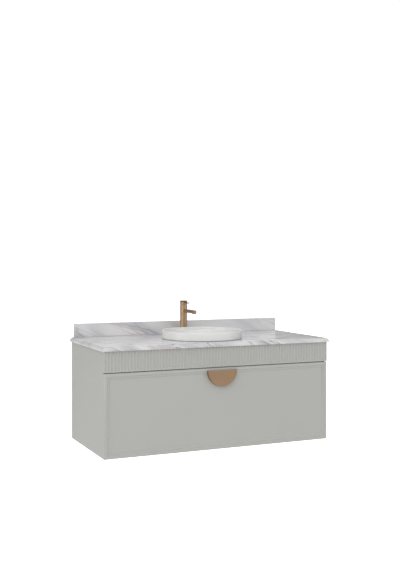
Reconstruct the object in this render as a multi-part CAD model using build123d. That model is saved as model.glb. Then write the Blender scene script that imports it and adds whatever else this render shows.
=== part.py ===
from build123d import *
import os
from math import cos, radians, sin, tan

# A wall-hung vanity: a two-tone cabinet with one wide drawer, a marble top with a
# round semi-recessed basin, a single-lever mixer tap, a click waste and a bottle trap.
# All sizes are in millimetres. X runs across the vanity, Y points into the wall,
# Z points up. X = 0 is the middle, Y = 0 is the wall, and Z = 0 is the height of the
# upper pair of wall screws.

# ------------------------------------------------------------------ driving dimensions
WIDTH, DEPTH, HEIGHT = 1200.0, 550.0, 500.0   # cabinet, over its drawer front
BOARD = 18.0                  # thickness of the cabinet boards
RAIL_HEIGHT = 100.0           # back rails and front rail
RAIL_OVERLAP = 12.0           # the front rail reaches this much lower, behind the drawer's top edge
FRONT = 20.0                  # thickness of the drawer front
BUMPER_GAP = 2.0              # air behind the closed drawer front
FASCIA_HEIGHT = 99.0          # fluted board over the drawer
SHADOW_GAP = 4.0              # dark line between the fluted board and the drawer
FLUTE_PITCH, FLUTE_RADIUS, FLUTE_DEPTH = 16.0, 6.0, 3.5
FLUTE_STOP = 5.0              # plain strip left below the flutes

TOP_THICK, TOP_OVERHANG = 22.0, 10.0          # marble top
NOSE_HEIGHT, SLOPE_DEPTH = 8.5, 20.0          # upright nose and moulded slope of its edge
SPLASH_HEIGHT, SPLASH_THICK, SPLASH_INSET = 70.0, 20.0, 10.0

BASIN_RADIUS, BASIN_RISE = 208.5, 42.0        # rim radius, and rim above the top
BASIN_FROM_WALL = 311.4
BOWL_RADIUS, CUTOUT_RADIUS = 186.0, 191.0     # bowl under the top, and the hole for it
RIM_THICK = 9.0
SEAL_THICK = 1.5
DRAIN_RADIUS = 22.5

TAP_FROM_WALL, TAP_RADIUS = 70.0, 18.7
TAP_HOLE_RADIUS = 17.5
CAP_HEIGHT, LIFT_ANGLE = 22.0, 18.0

DRAWER_WALL = 15.0            # drawer box boards
DRAWER_HEIGHT, DRAWER_LENGTH = 200.0, 450.0
DRAWER_FLOOR = 8.0
NOTCH_HALF, NOTCH_FRONT = 95.0, 371.0         # notch around the trap: half width, wall to its end
RUNNER_THICK, RUNNER_HEIGHT, SHEET = 12.7, 45.6, 1.2

WALL_SCREW_SPACING, WALL_SCREW_RADIUS = 800.0, 4.0
FIT = 0.05                    # radial play of a pin or screw in its hole

# ------------------------------------------------------------------ derived places
TOP_Z = RAIL_HEIGHT / 2                       # underside of the marble
BASE_Z = TOP_Z - HEIGHT
SIDE_X = WIDTH / 2
INNER_X = SIDE_X - BOARD
FACE_Y = -DEPTH
CARCASS_Y = FACE_Y + FRONT + BUMPER_GAP       # front edges of the boards
MARBLE_Z = TOP_Z + TOP_THICK
LOWER_RAIL_Z = BASE_Z + BOARD + RAIL_HEIGHT / 2
DRAWER_TOP_Z = TOP_Z - FASCIA_HEIGHT - SHADOW_GAP
BASIN_Y, TAP_Y = -BASIN_FROM_WALL, -TAP_FROM_WALL
RIM_Z = MARBLE_Z + BASIN_RISE
FLANGE_Z = MARBLE_Z + SEAL_THICK

BOX_X = INNER_X - RUNNER_THICK                # outside of the drawer box
BOX_BASE_Z = BASE_Z + 28
BOX_TOP_Z = BOX_BASE_Z + DRAWER_HEIGHT
BOX_FRONT_Y = FACE_Y + FRONT
BOX_BACK_Y = BOX_FRONT_Y + DRAWER_LENGTH
FLOOR_Z = BOX_BASE_Z + DRAWER_FLOOR
RUNNER_Z = (BOX_BASE_Z + BOX_TOP_Z) / 2
SIDES = (-1, 1)


# ------------------------------------------------------------------ building blocks
def block(x0, x1, y0, y1, z0, z1):
    """A box between two corners."""
    middle = Pos((x0 + x1) / 2, (y0 + y1) / 2, (z0 + z1) / 2)
    return middle * Box(abs(x1 - x0), abs(y1 - y0), abs(z1 - z0))


def rod(at, along, length, radius):
    """A cylinder that starts at a point and runs along a direction."""
    return Plane(origin=at, z_dir=along) * (Pos(0, 0, length / 2) * Cylinder(radius, length))


def upright(x, y, z0, z1, radius):
    """A vertical cylinder between two heights."""
    return Pos(x, y, (z0 + z1) / 2) * Cylinder(radius, z1 - z0)


def ring(x, y, z0, z1, outer, inner):
    """A vertical ring or tube."""
    return upright(x, y, z0, z1, outer) - upright(x, y, z0 - 1, z1 + 1, inner)


def tube(at, along, length, outer, inner):
    """A tube that starts at a point and runs along a direction."""
    return rod(at, along, length, outer) - rod(at, along, length, inner)


def screw(at, along, length, shank=2.0, head=4.0, head_height=1.5):
    """A pan-head screw whose head sits on the surface at a point."""
    back = tuple(-part for part in along)
    top = rod(at, back, head_height, head)
    top = chamfer(top.edges().filter_by(GeomType.CIRCLE).sort_by_distance(at)[-1], 0.5)
    return rod(at, along, length, shank) + top


def turned(*outline, y=0.0):
    """A turned solid from (radius, height) points joined by straight lines."""
    profile = make_face(Polyline(*outline, close=True))
    return Pos(0, y, 0) * revolve(Plane.XZ * profile, Axis.Z)


def group(parts):
    """Several separate solids in one node."""
    return Compound(children=[solid for part in parts for solid in part.solids()])


def mirrored(part):
    return mirror(part, Plane.YZ)


# ------------------------------------------------------------------ fasteners of the cabinet
CAM_FROM_END, CAM_RADIUS, CAM_DEPTH = 34.0, 7.5, 12.5
CAM_BOLT_RADIUS, CAM_BOLT_IN_SIDE = 3.5, 10.0

# Each cam: its depth in Y, its height, and the direction its disc is let in from.
RAIL_CAMS = [(-BOARD / 2, z, (0, 1, 0)) for z in (-30, 30)]
LOWER_CAMS = [(-BOARD / 2, LOWER_RAIL_Z + z, (0, 1, 0)) for z in (-30, 30)]
FRONT_CAMS = [(CARCASS_Y + BOARD / 2, z, (0, -1, 0)) for z in (-30, 30)]
BASE_CAMS = [(y, BASE_Z + BOARD / 2, (0, 0, 1)) for y in (-440, -100)]
ALL_CAMS = RAIL_CAMS + LOWER_CAMS + FRONT_CAMS + BASE_CAMS


def cam_disc(side, y, z, inward, play=0.0):
    """Zinc cam let into the face of a board near its end."""
    half = BOARD / 2
    start = (side * (INNER_X - CAM_FROM_END), y - inward[1] * half, z - inward[2] * half)
    return rod(start, inward, CAM_DEPTH, CAM_RADIUS + play)


def cam_bolt(side, y, z, play=0.0):
    """Bolt from the side panel into the end of a board, up to the cam."""
    start = (side * (INNER_X + CAM_BOLT_IN_SIDE), y, z)
    length = CAM_BOLT_IN_SIDE + CAM_FROM_END - CAM_RADIUS - 0.2
    return rod(start, (-side, 0, 0), length + play, CAM_BOLT_RADIUS + play)


def cam_slots(cams):
    """Everything that is drilled in a board for its cams and bolts."""
    cuts = []
    for side in SIDES:
        for y, z, inward in cams:
            cuts.append(cam_disc(side, y, z, inward, FIT))
            cuts.append(cam_bolt(side, y, z, FIT))
    return cuts


def cam_locks():
    return group([cam_disc(side, y, z, way) for side in SIDES for y, z, way in ALL_CAMS])


def cam_bolts():
    return group([cam_bolt(side, y, z) for side in SIDES for y, z, way in ALL_CAMS])


BRACE_LEG, BRACE_THICK, BRACE_Z = 40.0, 2.0, -9.0
BRACE_HEIGHT = 18.0
RUNNER_SCREW_Y = (-490, -300, -110)
FASCIA_SCREW_X = (-480, -240, 0, 240, 480)


def brace_corners():
    """Inner corners that carry a brace: side, depth of the rail face, way to the rail."""
    return [(side, y, way) for side in SIDES
            for y, way in ((-BOARD, 1), (CARCASS_Y + BOARD, -1))]


def corner_braces():
    """Steel angle in each upper inner corner, between side panel and rail."""
    made = []
    for side, y, way in brace_corners():
        x = side * INNER_X
        leg = block(x, x - side * BRACE_THICK, y, y - way * BRACE_LEG, BRACE_Z, BRACE_Z + BRACE_HEIGHT)
        foot = block(x, x - side * BRACE_LEG, y, y - way * BRACE_THICK, BRACE_Z, BRACE_Z + BRACE_HEIGHT)
        brace = leg + foot
        for at, along in brace_screw_places(side, y, way):
            brace -= rod(at, along, BRACE_THICK + 1, 2 + FIT)
        made.append(brace)
    return group(made)


def brace_screw_places(side, y, way):
    """Head places and directions of the two screws of one brace."""
    z = BRACE_Z + BRACE_HEIGHT / 2
    into_side = ((side * (INNER_X - BRACE_THICK), y - way * 28, z), (side, 0, 0))
    into_rail = ((side * (INNER_X - 22), y - way * BRACE_THICK, z), (0, way, 0))
    return [into_side, into_rail]


def cabinet_screw_places():
    """Every wood screw of the fixed cabinet: head place, direction, length."""
    places = []
    for corner in brace_corners():
        places += [(at, along, 14.0) for at, along in brace_screw_places(*corner)]
    for side in SIDES:
        for y in RUNNER_SCREW_Y:
            places.append(((side * (INNER_X - SHEET), y, RUNNER_Z), (side, 0, 0), 14.0))
    for x in FASCIA_SCREW_X:
        places.append(((x, CARCASS_Y + BOARD, 0), (0, -1, 0), 30.0))
    return places


def cabinet_screws():
    return group([screw(at, along, length) for at, along, length in cabinet_screw_places()])


def screw_holes():
    return [rod(at, along, length + FIT, 2 + FIT) for at, along, length in cabinet_screw_places()]


# ------------------------------------------------------------------ cabinet boards
def side_panel(side):
    panel = block(side * INNER_X, side * SIDE_X, CARCASS_Y, 0, BASE_Z, TOP_Z)
    panel = chamfer(panel.edges(), 0.8)
    near = [hole for hole in screw_holes() if hole.center().X * side > INNER_X - 20]
    bolts = [cam_bolt(side, y, z, FIT) for y, z, way in ALL_CAMS]
    return panel - near - bolts


def bottom_panel():
    panel = block(-INNER_X, INNER_X, CARCASS_Y, 0, BASE_Z, BASE_Z + BOARD)
    return panel - cam_slots(BASE_CAMS)


def wall_holes(z):
    return [rod((side * WALL_SCREW_SPACING / 2, 1, z), (0, -1, 0), BOARD + 2, WALL_SCREW_RADIUS)
            for side in SIDES]


def back_rail(z, cams):
    rail = block(-INNER_X, INNER_X, -BOARD, 0, z - RAIL_HEIGHT / 2, z + RAIL_HEIGHT / 2)
    rail = rail - cam_slots(cams) - wall_holes(z)
    return rail - [hole for hole in screw_holes() if hole.center().Y > -BOARD * 1.5]


def front_rail():
    rail = block(-INNER_X, INNER_X, CARCASS_Y, CARCASS_Y + BOARD,
                 -RAIL_HEIGHT / 2 - RAIL_OVERLAP, RAIL_HEIGHT / 2)
    rail = rail - cam_slots(FRONT_CAMS)
    return rail - [hole for hole in screw_holes() if abs(hole.center().Y - CARCASS_Y) < BOARD]


def fluted_fascia():
    """Fixed board with round-nosed flutes that stop just above its lower edge."""
    low = TOP_Z - FASCIA_HEIGHT
    board = block(-SIDE_X, SIDE_X, FACE_Y, CARCASS_Y, low, TOP_Z)
    board = chamfer(board.faces().sort_by(Axis.Y)[0].edges(), 1.0)
    centre_y = FACE_Y - FLUTE_RADIUS + FLUTE_DEPTH
    start_z = low + FLUTE_STOP + FLUTE_RADIUS
    count = int(WIDTH / FLUTE_PITCH)
    cuts = []
    for index in range(count):
        x = -SIDE_X + (index + 0.5) * FLUTE_PITCH
        cuts.append(upright(x, centre_y, start_z, TOP_Z + 1, FLUTE_RADIUS))
        cuts.append(Pos(x, centre_y, start_z) * Sphere(FLUTE_RADIUS))
    board = board - cuts
    return board - [hole for hole in screw_holes() if abs(hole.center().Y - CARCASS_Y) < BOARD]


def drawer_bumpers():
    """Soft buttons on the front edges of the side panels."""
    x = SIDE_X - BOARD / 2
    return group([rod((side * x, CARCASS_Y, z), (0, -1, 0), BUMPER_GAP - 0.2, 5.0)
                  for side in SIDES for z in (DRAWER_TOP_Z - 40, BASE_Z + 40)])


# ------------------------------------------------------------------ marble
def edge_moulding(outer, inner_sign, low):
    """Nose and moulded slope of the marble edge, from the underside up to the flat top."""
    nose = Line((outer, low), (outer, low + NOSE_HEIGHT))
    slope = Bezier(
        (outer, low + NOSE_HEIGHT),
        (outer + inner_sign * SLOPE_DEPTH * 0.2, low + TOP_THICK * 0.7),
        (outer + inner_sign * SLOPE_DEPTH * 0.6, low + TOP_THICK),
        (outer + inner_sign * SLOPE_DEPTH, low + TOP_THICK))
    return nose, slope


def countertop():
    """Slab with a moulded edge on three sides, a basin hole and a tap hole."""
    edge_x = SIDE_X + TOP_OVERHANG
    front = FACE_Y - TOP_OVERHANG
    left_nose, left_slope = edge_moulding(-edge_x, 1, TOP_Z)
    right_nose, right_slope = edge_moulding(edge_x, -1, TOP_Z)
    across = make_face([left_nose, left_slope, Line(left_slope @ 1, right_slope @ 1),
                        right_slope, right_nose, Line((edge_x, TOP_Z), (-edge_x, TOP_Z))])
    length = extrude(Plane.XZ * across, amount=DEPTH + TOP_OVERHANG)
    nose, slope = edge_moulding(front, 1, TOP_Z)
    deep = make_face([nose, slope, Line(slope @ 1, (0, MARBLE_Z)), Line((0, MARBLE_Z), (0, TOP_Z)),
                      Line((0, TOP_Z), (front, TOP_Z))])
    cross = extrude(Plane.YZ * deep, amount=edge_x, both=True)
    slab = length & cross
    slab -= upright(0, BASIN_Y, TOP_Z - 1, MARBLE_Z + 1, CUTOUT_RADIUS)
    return slab - upright(0, TAP_Y, TOP_Z - 1, MARBLE_Z + 1, TAP_HOLE_RADIUS)


def backsplash():
    reach = SIDE_X - SPLASH_INSET
    board = block(-reach, reach, -SPLASH_THICK, 0, MARBLE_Z, MARBLE_Z + SPLASH_HEIGHT)
    upper = board.edges().group_by(Axis.Z)[-1].sort_by(Axis.Y)[0]
    ends = board.edges().filter_by(Axis.Z).group_by(Axis.Y)[0]
    return chamfer([upper] + ends, 1.5)


# ------------------------------------------------------------------ basin and waste
DRAIN_SEAT_Z, BOSS_Z = -8.5, -30.0
FLANGE_RADIUS, FLANGE_THICK = 33.0, 2.5
WASTE_RADIUS, WASTE_BORE, WASTE_END_Z = 20.5, 17.5, -90.0


BOWL_WALL = 11.0                              # thickness of the bowl
RIM_TURN_Z, RIM_TURN = 106.0, 24.0            # where the upright wall starts to bend, and how
BOWL_SPHERE = 229.5                           # inside radius of the round bottom
DRAIN_EDGE, BOSS_OUTER = DRAIN_RADIUS + 13.5, 38.0
FOOT_CHAMFER = 3.0


def sphere_point(radius, centre_z, angle):
    """(radius, height) on a sphere about the basin's axis, at an angle from straight down."""
    return radius * sin(radians(angle)), centre_z - radius * cos(radians(angle))


def basin():
    """Round glazed bowl: an upright rim above the marble, sloped sides and a round bottom."""
    half = RIM_THICK / 2
    rim_in = BASIN_RADIUS - RIM_THICK
    foot = BASIN_RADIUS - 3
    wall = Line((rim_in, RIM_Z - half), (rim_in, RIM_TURN_Z))
    bend = JernArc(wall @ 1, (0, -1), RIM_TURN, -45)
    centre_z = BOWL_SPHERE * 2 ** 0.5 - (bend @ 1).X + (bend @ 1).Y
    slope_end = sphere_point(BOWL_SPHERE, centre_z, 45)
    drain_z = centre_z - (BOWL_SPHERE ** 2 - DRAIN_EDGE ** 2) ** 0.5
    bottom = ThreePointArc(slope_end, sphere_point(BOWL_SPHERE, centre_z, 27), (DRAIN_EDGE, drain_z))
    drain = Polyline((DRAIN_EDGE, drain_z), (FLANGE_RADIUS + 1, drain_z - 0.4),
                     (FLANGE_RADIUS + 1, DRAIN_SEAT_Z), (DRAIN_RADIUS, DRAIN_SEAT_Z),
                     (DRAIN_RADIUS, BOSS_Z), (BOSS_OUTER - 2, BOSS_Z), (BOSS_OUTER, BOSS_Z + 2),
                     (BOSS_OUTER, BOSS_Z + 12))
    outside = BOWL_SPHERE + BOWL_WALL
    under = ThreePointArc(sphere_point(outside, centre_z, 12), sphere_point(outside, centre_z, 28),
                          sphere_point(outside, centre_z, 45))
    neck = Polyline(under @ 1, (BOWL_RADIUS, BOWL_RADIUS + centre_z - outside * 2 ** 0.5),
                    (BOWL_RADIUS, FLANGE_Z), (foot - FOOT_CHAMFER, FLANGE_Z),
                    (foot, FLANGE_Z + FOOT_CHAMFER), (BASIN_RADIUS, RIM_Z - half))
    rim = ThreePointArc((BASIN_RADIUS, RIM_Z - half), (BASIN_RADIUS - half, RIM_Z),
                        (rim_in, RIM_Z - half))
    outline = make_face([wall, bend, Line(bend @ 1, slope_end), bottom, drain,
                         Line(drain @ 1, under @ 0), under, neck, rim])
    return Pos(0, BASIN_Y, 0) * revolve(Plane.XZ * outline, Axis.Z)


def basin_seal():
    """Flat silicone ring between the foot of the rim and the marble, set back from view."""
    return ring(0, BASIN_Y, MARBLE_Z, FLANGE_Z, BASIN_RADIUS - 8, CUTOUT_RADIUS + 1)


CARTRIDGE_RADIUS, STEM_RADIUS = 6.0, 4.0
CLICK_TOP_Z, CLICK_LOW_Z = -20.0, -52.0
PLUG_LOW_Z = -5.8


def waste_body():
    """Flanged tail with a cross-bar that holds the click cartridge."""
    top = DRAIN_SEAT_Z + FLANGE_THICK
    tail = turned((WASTE_BORE, top - 1.5), (WASTE_BORE + 6, top), (FLANGE_RADIUS - 1, top),
                  (FLANGE_RADIUS, top - 1), (FLANGE_RADIUS, DRAIN_SEAT_Z),
                  (WASTE_RADIUS, DRAIN_SEAT_Z), (WASTE_RADIUS, WASTE_END_Z),
                  (WASTE_BORE, WASTE_END_Z), y=BASIN_Y)
    bar = block(-WASTE_BORE - 1, WASTE_BORE + 1, BASIN_Y - 2, BASIN_Y + 2, -40, -34)
    hub = upright(0, BASIN_Y, -42, -32, CARTRIDGE_RADIUS + 2.5)
    bore = upright(0, BASIN_Y, CLICK_LOW_Z, CLICK_TOP_Z, CARTRIDGE_RADIUS + FIT)
    return tail + (bar + hub - bore)


def click_cartridge():
    """Latch sleeve that the plug's stem slides in."""
    sleeve = upright(0, BASIN_Y, CLICK_LOW_Z, CLICK_TOP_Z, CARTRIDGE_RADIUS)
    return sleeve - upright(0, BASIN_Y, CLICK_LOW_Z + 3, CLICK_TOP_Z + 1, STEM_RADIUS + FIT)


def waste_plug():
    """Domed cap on a stem. It rests over the flange and clicks up to drain."""
    dome = turned((0, PLUG_LOW_Z), (30, PLUG_LOW_Z), (31, PLUG_LOW_Z + 1), (31, PLUG_LOW_Z + 2.2),
                  (29.6, PLUG_LOW_Z + 3.2), (18, PLUG_LOW_Z + 4.1), (0, PLUG_LOW_Z + 4.4), y=BASIN_Y)
    return dome + upright(0, BASIN_Y, -46, PLUG_LOW_Z + 1, STEM_RADIUS)


def plug_seal():
    """Rubber ring under the plug's cap, inside the mouth of the waste."""
    return ring(0, BASIN_Y, PLUG_LOW_Z - 3, PLUG_LOW_Z, 15.5, STEM_RADIUS + 4)


def waste_gasket():
    return ring(0, BASIN_Y, BOSS_Z - 4, BOSS_Z, 34, WASTE_RADIUS + FIT)


def hexagon_nut(z0, z1, flat_radius, bore, y):
    nut = Pos(0, y, z0) * extrude(RegularPolygon(flat_radius, 6, major_radius=False), amount=z1 - z0)
    return nut - upright(0, y, z0 - 1, z1 + 1, bore)


def waste_nut():
    return hexagon_nut(BOSS_Z - 14, BOSS_Z - 4, 28, WASTE_RADIUS + FIT, BASIN_Y)


# ------------------------------------------------------------------ bottle trap
PIPE_RADIUS, PIPE_BORE = 16.0, 14.6
OUTLET_Z = -195.0
BOTTLE_RADIUS, BOTTLE_TOP_Z, BOTTLE_LOW_Z = 30.0, -172.0, -246.0
CUP_LOW_Z = -268.0
SPIGOT = 40.0                 # pipe that goes into the wall
MARK_Y = 1.5                  # groove that shows how far the pipe goes in


def trap_inlet_tube():
    """Dip tube from the waste down into the bottle."""
    return ring(0, BASIN_Y, BOTTLE_LOW_Z + 8, WASTE_END_Z - 0.2, PIPE_RADIUS, PIPE_BORE)


GRIP_GROOVE = 1.2             # radius of one finger groove


def grip_grooved(nut, at, along, radius, length, count=12):
    """Finger grooves around a hand-tightened nut or cup."""
    plane = Plane(origin=at, z_dir=along)
    grooves = [plane * Rot(0, 0, index * 360 / count)
               * (Pos(radius, 0, length / 2) * Cylinder(GRIP_GROOVE, length))
               for index in range(count)]
    return nut - grooves


def trap_nuts():
    """The three hand-tightened nuts: under the waste, on the bottle's neck, at the outlet."""
    low = WASTE_END_Z - 8
    upper = turned((WASTE_RADIUS + FIT, WASTE_END_Z - 0.2), (WASTE_RADIUS + FIT, WASTE_END_Z + 10),
                   (25.5, WASTE_END_Z + 10), (25.5, low), (PIPE_RADIUS + FIT, low),
                   (PIPE_RADIUS + FIT, WASTE_END_Z - 0.2), y=BASIN_Y)
    neck = tube((0, BASIN_Y, BOTTLE_TOP_Z), (0, 0, 1), 14, 24, PIPE_RADIUS + FIT)
    outlet_y = BASIN_Y + 46
    outlet = tube((0, outlet_y, OUTLET_Z), (0, 1, 0), 16, 25, PIPE_RADIUS + FIT)
    outlet -= rod((0, outlet_y - 1, OUTLET_Z), (0, 1, 0), 5, 20 + FIT)
    return group([
        grip_grooved(upper, (0, BASIN_Y, low), (0, 0, 1), 25.5, 18),
        grip_grooved(neck, (0, BASIN_Y, BOTTLE_TOP_Z), (0, 0, 1), 24, 14),
        grip_grooved(outlet, (0, outlet_y, OUTLET_Z), (0, 1, 0), 25, 16)])


def trap_bottle():
    """Hollow bottle with a side boss for the outlet pipe."""
    shell = upright(0, BASIN_Y, BOTTLE_LOW_Z, BOTTLE_TOP_Z, BOTTLE_RADIUS)
    shell = fillet(shell.edges().group_by(Axis.Z)[-1], 4)
    boss_end = BASIN_Y + 50
    shell += rod((0, BASIN_Y, OUTLET_Z), (0, 1, 0), boss_end - BASIN_Y, 20)
    shell -= upright(0, BASIN_Y, BOTTLE_LOW_Z - 1, BOTTLE_TOP_Z - 3, BOTTLE_RADIUS - 2.5)
    shell -= upright(0, BASIN_Y, BOTTLE_TOP_Z - 5, BOTTLE_TOP_Z + 1, PIPE_RADIUS + FIT)
    return shell - rod((0, BASIN_Y + 20, OUTLET_Z), (0, 1, 0), 40, PIPE_RADIUS + FIT)


def trap_cup():
    """Cup that unscrews from the bottle to clean the trap."""
    wall = BOTTLE_RADIUS + 2.5
    cup = upright(0, BASIN_Y, CUP_LOW_Z, BOTTLE_LOW_Z + 12, wall)
    cup = fillet(cup.edges().group_by(Axis.Z)[0], 5)
    cup -= upright(0, BASIN_Y, BOTTLE_LOW_Z, BOTTLE_LOW_Z + 13, BOTTLE_RADIUS + FIT)
    cup -= upright(0, BASIN_Y, CUP_LOW_Z + 3, BOTTLE_LOW_Z + 1, BOTTLE_RADIUS - 4)
    return grip_grooved(cup, (0, BASIN_Y, BOTTLE_LOW_Z - 6), (0, 0, 1), wall, 18, 16)


def outlet_pipe():
    """Straight pipe from the bottle through the wall plane, with an insertion mark."""
    start = BASIN_Y + 34
    pipe = tube((0, start, OUTLET_Z), (0, 1, 0), SPIGOT - start, PIPE_RADIUS, PIPE_BORE)
    return pipe - tube((0, MARK_Y, OUTLET_Z), (0, 1, 0), 1, PIPE_RADIUS + 1, PIPE_RADIUS - 0.4)


def wall_rosette():
    """Domed cover ring around the pipe, against the wall."""
    cover = turned((PIPE_RADIUS + FIT, 0), (38, 0), (38, 1.5), (34, 5), (24, 8), (PIPE_RADIUS + FIT, 9))
    return Pos(0, 0, OUTLET_Z) * Rot(90, 0, 0) * cover


# ------------------------------------------------------------------ tap
GASKET_THICK, FOOT_RING, FOOT_RADIUS = 1.5, 4.0, 25.0
FOOT_Z = MARBLE_Z + GASKET_THICK
BODY_Z = FOOT_Z + FOOT_RING
BODY_TOP_Z = 231.0
CAP_Z = BODY_TOP_Z + 0.5
SHANK_RADIUS, SHANK_BORE, SHANK_SOCKET = 16.0, 13.0, 12.0
SHANK_LOW_Z = TOP_Z - 42
SEAT_Z, SEAT_BORE = 190.0, 16.7
PIVOT_Z = 218.0
CARRIER_RADIUS, STEM_SIDE = 11.0, 7.0
SPOUT_Z, SPOUT_RADIUS, SPOUT_TIP = 200.0, 9.0, 154.0      # tip measured from the tap's axis
OUTLET_OFFSET = 143.0
OUTLET_RADIUS, OUTLET_LOW_Z, OUTLET_TOP_Z = 10.0, 188.0, 197.0
AERATOR_RADIUS, JET_RADIUS = 8.5, 1.1
LEVER_RADIUS, LEVER_TIP, LEVER_Z = 3.0, 68.5, 243.0
STEM_PIN_RADIUS = 1.5
INLET_RADIUS, INLET_DEPTH, INLET_X = 4.6, 20.0, 7.0
WATERWAY_RADIUS = 5.0


def tap_base_gasket():
    return ring(0, TAP_Y, MARBLE_Z, FOOT_Z, FOOT_RADIUS - 1, SHANK_RADIUS + FIT)


def tap_base_ring():
    foot = ring(0, TAP_Y, FOOT_Z, BODY_Z, FOOT_RADIUS, SHANK_RADIUS + FIT)
    return chamfer(foot.edges().filter_by(GeomType.CIRCLE).sort_by(SortBy.RADIUS)[-2:]
                   .sort_by(Axis.Z)[-1], 1.0)


def tap_body():
    """Upright column with a cartridge seat, two inlets and a side hole for the spout."""
    column = upright(0, TAP_Y, BODY_Z, BODY_TOP_Z, TAP_RADIUS)
    column = chamfer(column.edges().group_by(Axis.Z)[-1], 0.4)
    column -= upright(0, TAP_Y, SEAT_Z, BODY_TOP_Z + 1, SEAT_BORE)
    column -= upright(0, TAP_Y, BODY_Z - 1, BODY_Z + SHANK_SOCKET, SHANK_RADIUS + FIT)
    column -= rod((0, TAP_Y, SPOUT_Z), (0, -1, 0), 30, SPOUT_RADIUS + FIT)
    inlet_z = BODY_Z + SHANK_SOCKET
    for side in SIDES:      # waterways drilled from the seat down to the hoses' threads
        column -= upright(side * INLET_X, TAP_Y, inlet_z - 1, inlet_z + INLET_DEPTH, INLET_RADIUS)
        column -= upright(side * INLET_X, TAP_Y, inlet_z + INLET_DEPTH, SEAT_Z + 1, WATERWAY_RADIUS)
    return column


def tap_spout():
    """Straight round spout with a turned-down outlet at its tip."""
    start = TAP_Y - 14.6
    tip = TAP_Y - SPOUT_TIP
    pipe = rod((0, start, SPOUT_Z), (0, -1, 0), start - tip, SPOUT_RADIUS)
    pipe = fillet(pipe.edges().group_by(Axis.Y)[0], 1.5)
    outlet_y = TAP_Y - OUTLET_OFFSET
    pipe += upright(0, outlet_y, OUTLET_LOW_Z, OUTLET_TOP_Z, OUTLET_RADIUS)
    pipe -= rod((0, start + 1, SPOUT_Z), (0, -1, 0), start - outlet_y + 6, SPOUT_RADIUS - 2)
    return pipe - upright(0, outlet_y, OUTLET_LOW_Z - 1, OUTLET_TOP_Z, AERATOR_RADIUS + FIT)


def tap_aerator():
    """Insert with a ring of jets, let into the outlet."""
    y = TAP_Y - OUTLET_OFFSET
    disc = upright(0, y, OUTLET_LOW_Z + 0.8, OUTLET_TOP_Z - 2, AERATOR_RADIUS)
    jet_top = OUTLET_LOW_Z + 4
    jets = [Pos(0, y, 0) * Rot(0, 0, index * 60)
            * upright(AERATOR_RADIUS * 0.6, 0, OUTLET_LOW_Z, jet_top, JET_RADIUS) for index in range(6)]
    return disc - jets - upright(0, y, OUTLET_LOW_Z, jet_top, JET_RADIUS)


def tap_cartridge():
    """Ceramic-disc cartridge: a wide flange above, a narrow waisted body below."""
    housing = upright(0, TAP_Y, SEAT_Z, 213, 13.9) + upright(0, TAP_Y, 212, 225, SEAT_BORE - 0.1)
    return housing - upright(0, TAP_Y, 207.9, 226, CARRIER_RADIUS + FIT)


def cartridge_nut():
    return ring(0, TAP_Y, 225, BODY_TOP_Z - 0.4, SEAT_BORE - 0.1, CARRIER_RADIUS + 0.4)


def tap_carrier():
    """Turning disc of the cartridge, slotted so that the stem can rock."""
    disc = upright(0, TAP_Y, 208, BODY_TOP_Z - 0.5, CARRIER_RADIUS)
    slot = STEM_SIDE / 2 + 0.1
    disc -= block(-slot, slot, TAP_Y - 5.6, TAP_Y + 8.8, 211.4, BODY_TOP_Z)
    return disc - rod((-12, TAP_Y, PIVOT_Z), (1, 0, 0), 24, STEM_PIN_RADIUS)


def stem_pin():
    return rod((-10, TAP_Y, PIVOT_Z), (1, 0, 0), 20, STEM_PIN_RADIUS)


def cartridge_stem():
    """Square stem that the pin lets rock, and that the cap is fixed on."""
    half = STEM_SIDE / 2
    stem = block(-half, half, TAP_Y - half, TAP_Y + half, PIVOT_Z - 5, CAP_Z + 15.5)
    return stem - rod((-12, TAP_Y, PIVOT_Z), (1, 0, 0), 24, STEM_PIN_RADIUS + FIT)


def tap_cap():
    """Hollow cap, cut back under its rear half so that it can tip backwards."""
    top = CAP_Z + CAP_HEIGHT
    cap = upright(0, TAP_Y, CAP_Z, top, TAP_RADIUS)
    cap = chamfer(cap.edges().group_by(Axis.Z)[-1], 0.8)
    cap -= upright(0, TAP_Y, CAP_Z - 1, CAP_Z + 8.5, 15)
    socket = STEM_SIDE / 2 + FIT
    cap -= block(-socket, socket, TAP_Y - socket, TAP_Y + socket, CAP_Z, CAP_Z + 16)
    cap -= rod((0, TAP_Y - 8, LEVER_Z), (0, -1, 0), 20, LEVER_RADIUS)
    cap -= rod((0, TAP_Y + 3, LEVER_Z + 1), (0, 1, 0), 20, 2)
    start, reach = TAP_Y - 2.5, 24.0
    rise = reach * tan(radians(LIFT_ANGLE + 1))
    wedge = make_face(Polyline((start, CAP_Z - 0.1), (start + reach, CAP_Z + rise),
                               (start + reach, CAP_Z - 0.1), close=True))
    return cap - extrude(Plane.YZ * wedge, amount=TAP_RADIUS + 5, both=True)


def lever_pin():
    pin = rod((0, TAP_Y - 8, LEVER_Z), (0, -1, 0), LEVER_TIP - 8, LEVER_RADIUS)
    return chamfer(pin.edges().group_by(Axis.Y)[0], 0.5)


def grub_screw():
    key = rod((0, TAP_Y + 16, LEVER_Z + 1), (0, 1, 0), 3, 1)
    return rod((0, TAP_Y + STEM_SIDE / 2 + 0.1, LEVER_Z + 1), (0, 1, 0), 14, 2) - key


def tap_shank():
    """Threaded tube through the marble, drawn plain; the supply hoses pass inside it."""
    return ring(0, TAP_Y, SHANK_LOW_Z, BODY_Z + SHANK_SOCKET, SHANK_RADIUS, SHANK_BORE)


def shank_washer():
    return ring(0, TAP_Y, TOP_Z - 4, TOP_Z, 27, SHANK_RADIUS + FIT)


def shank_nut():
    washer = ring(0, TAP_Y, TOP_Z - 6, TOP_Z - 4, 27, SHANK_RADIUS + FIT)
    return group([washer, hexagon_nut(TOP_Z - 17, TOP_Z - 6, 22, SHANK_RADIUS + FIT, TAP_Y)])


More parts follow.
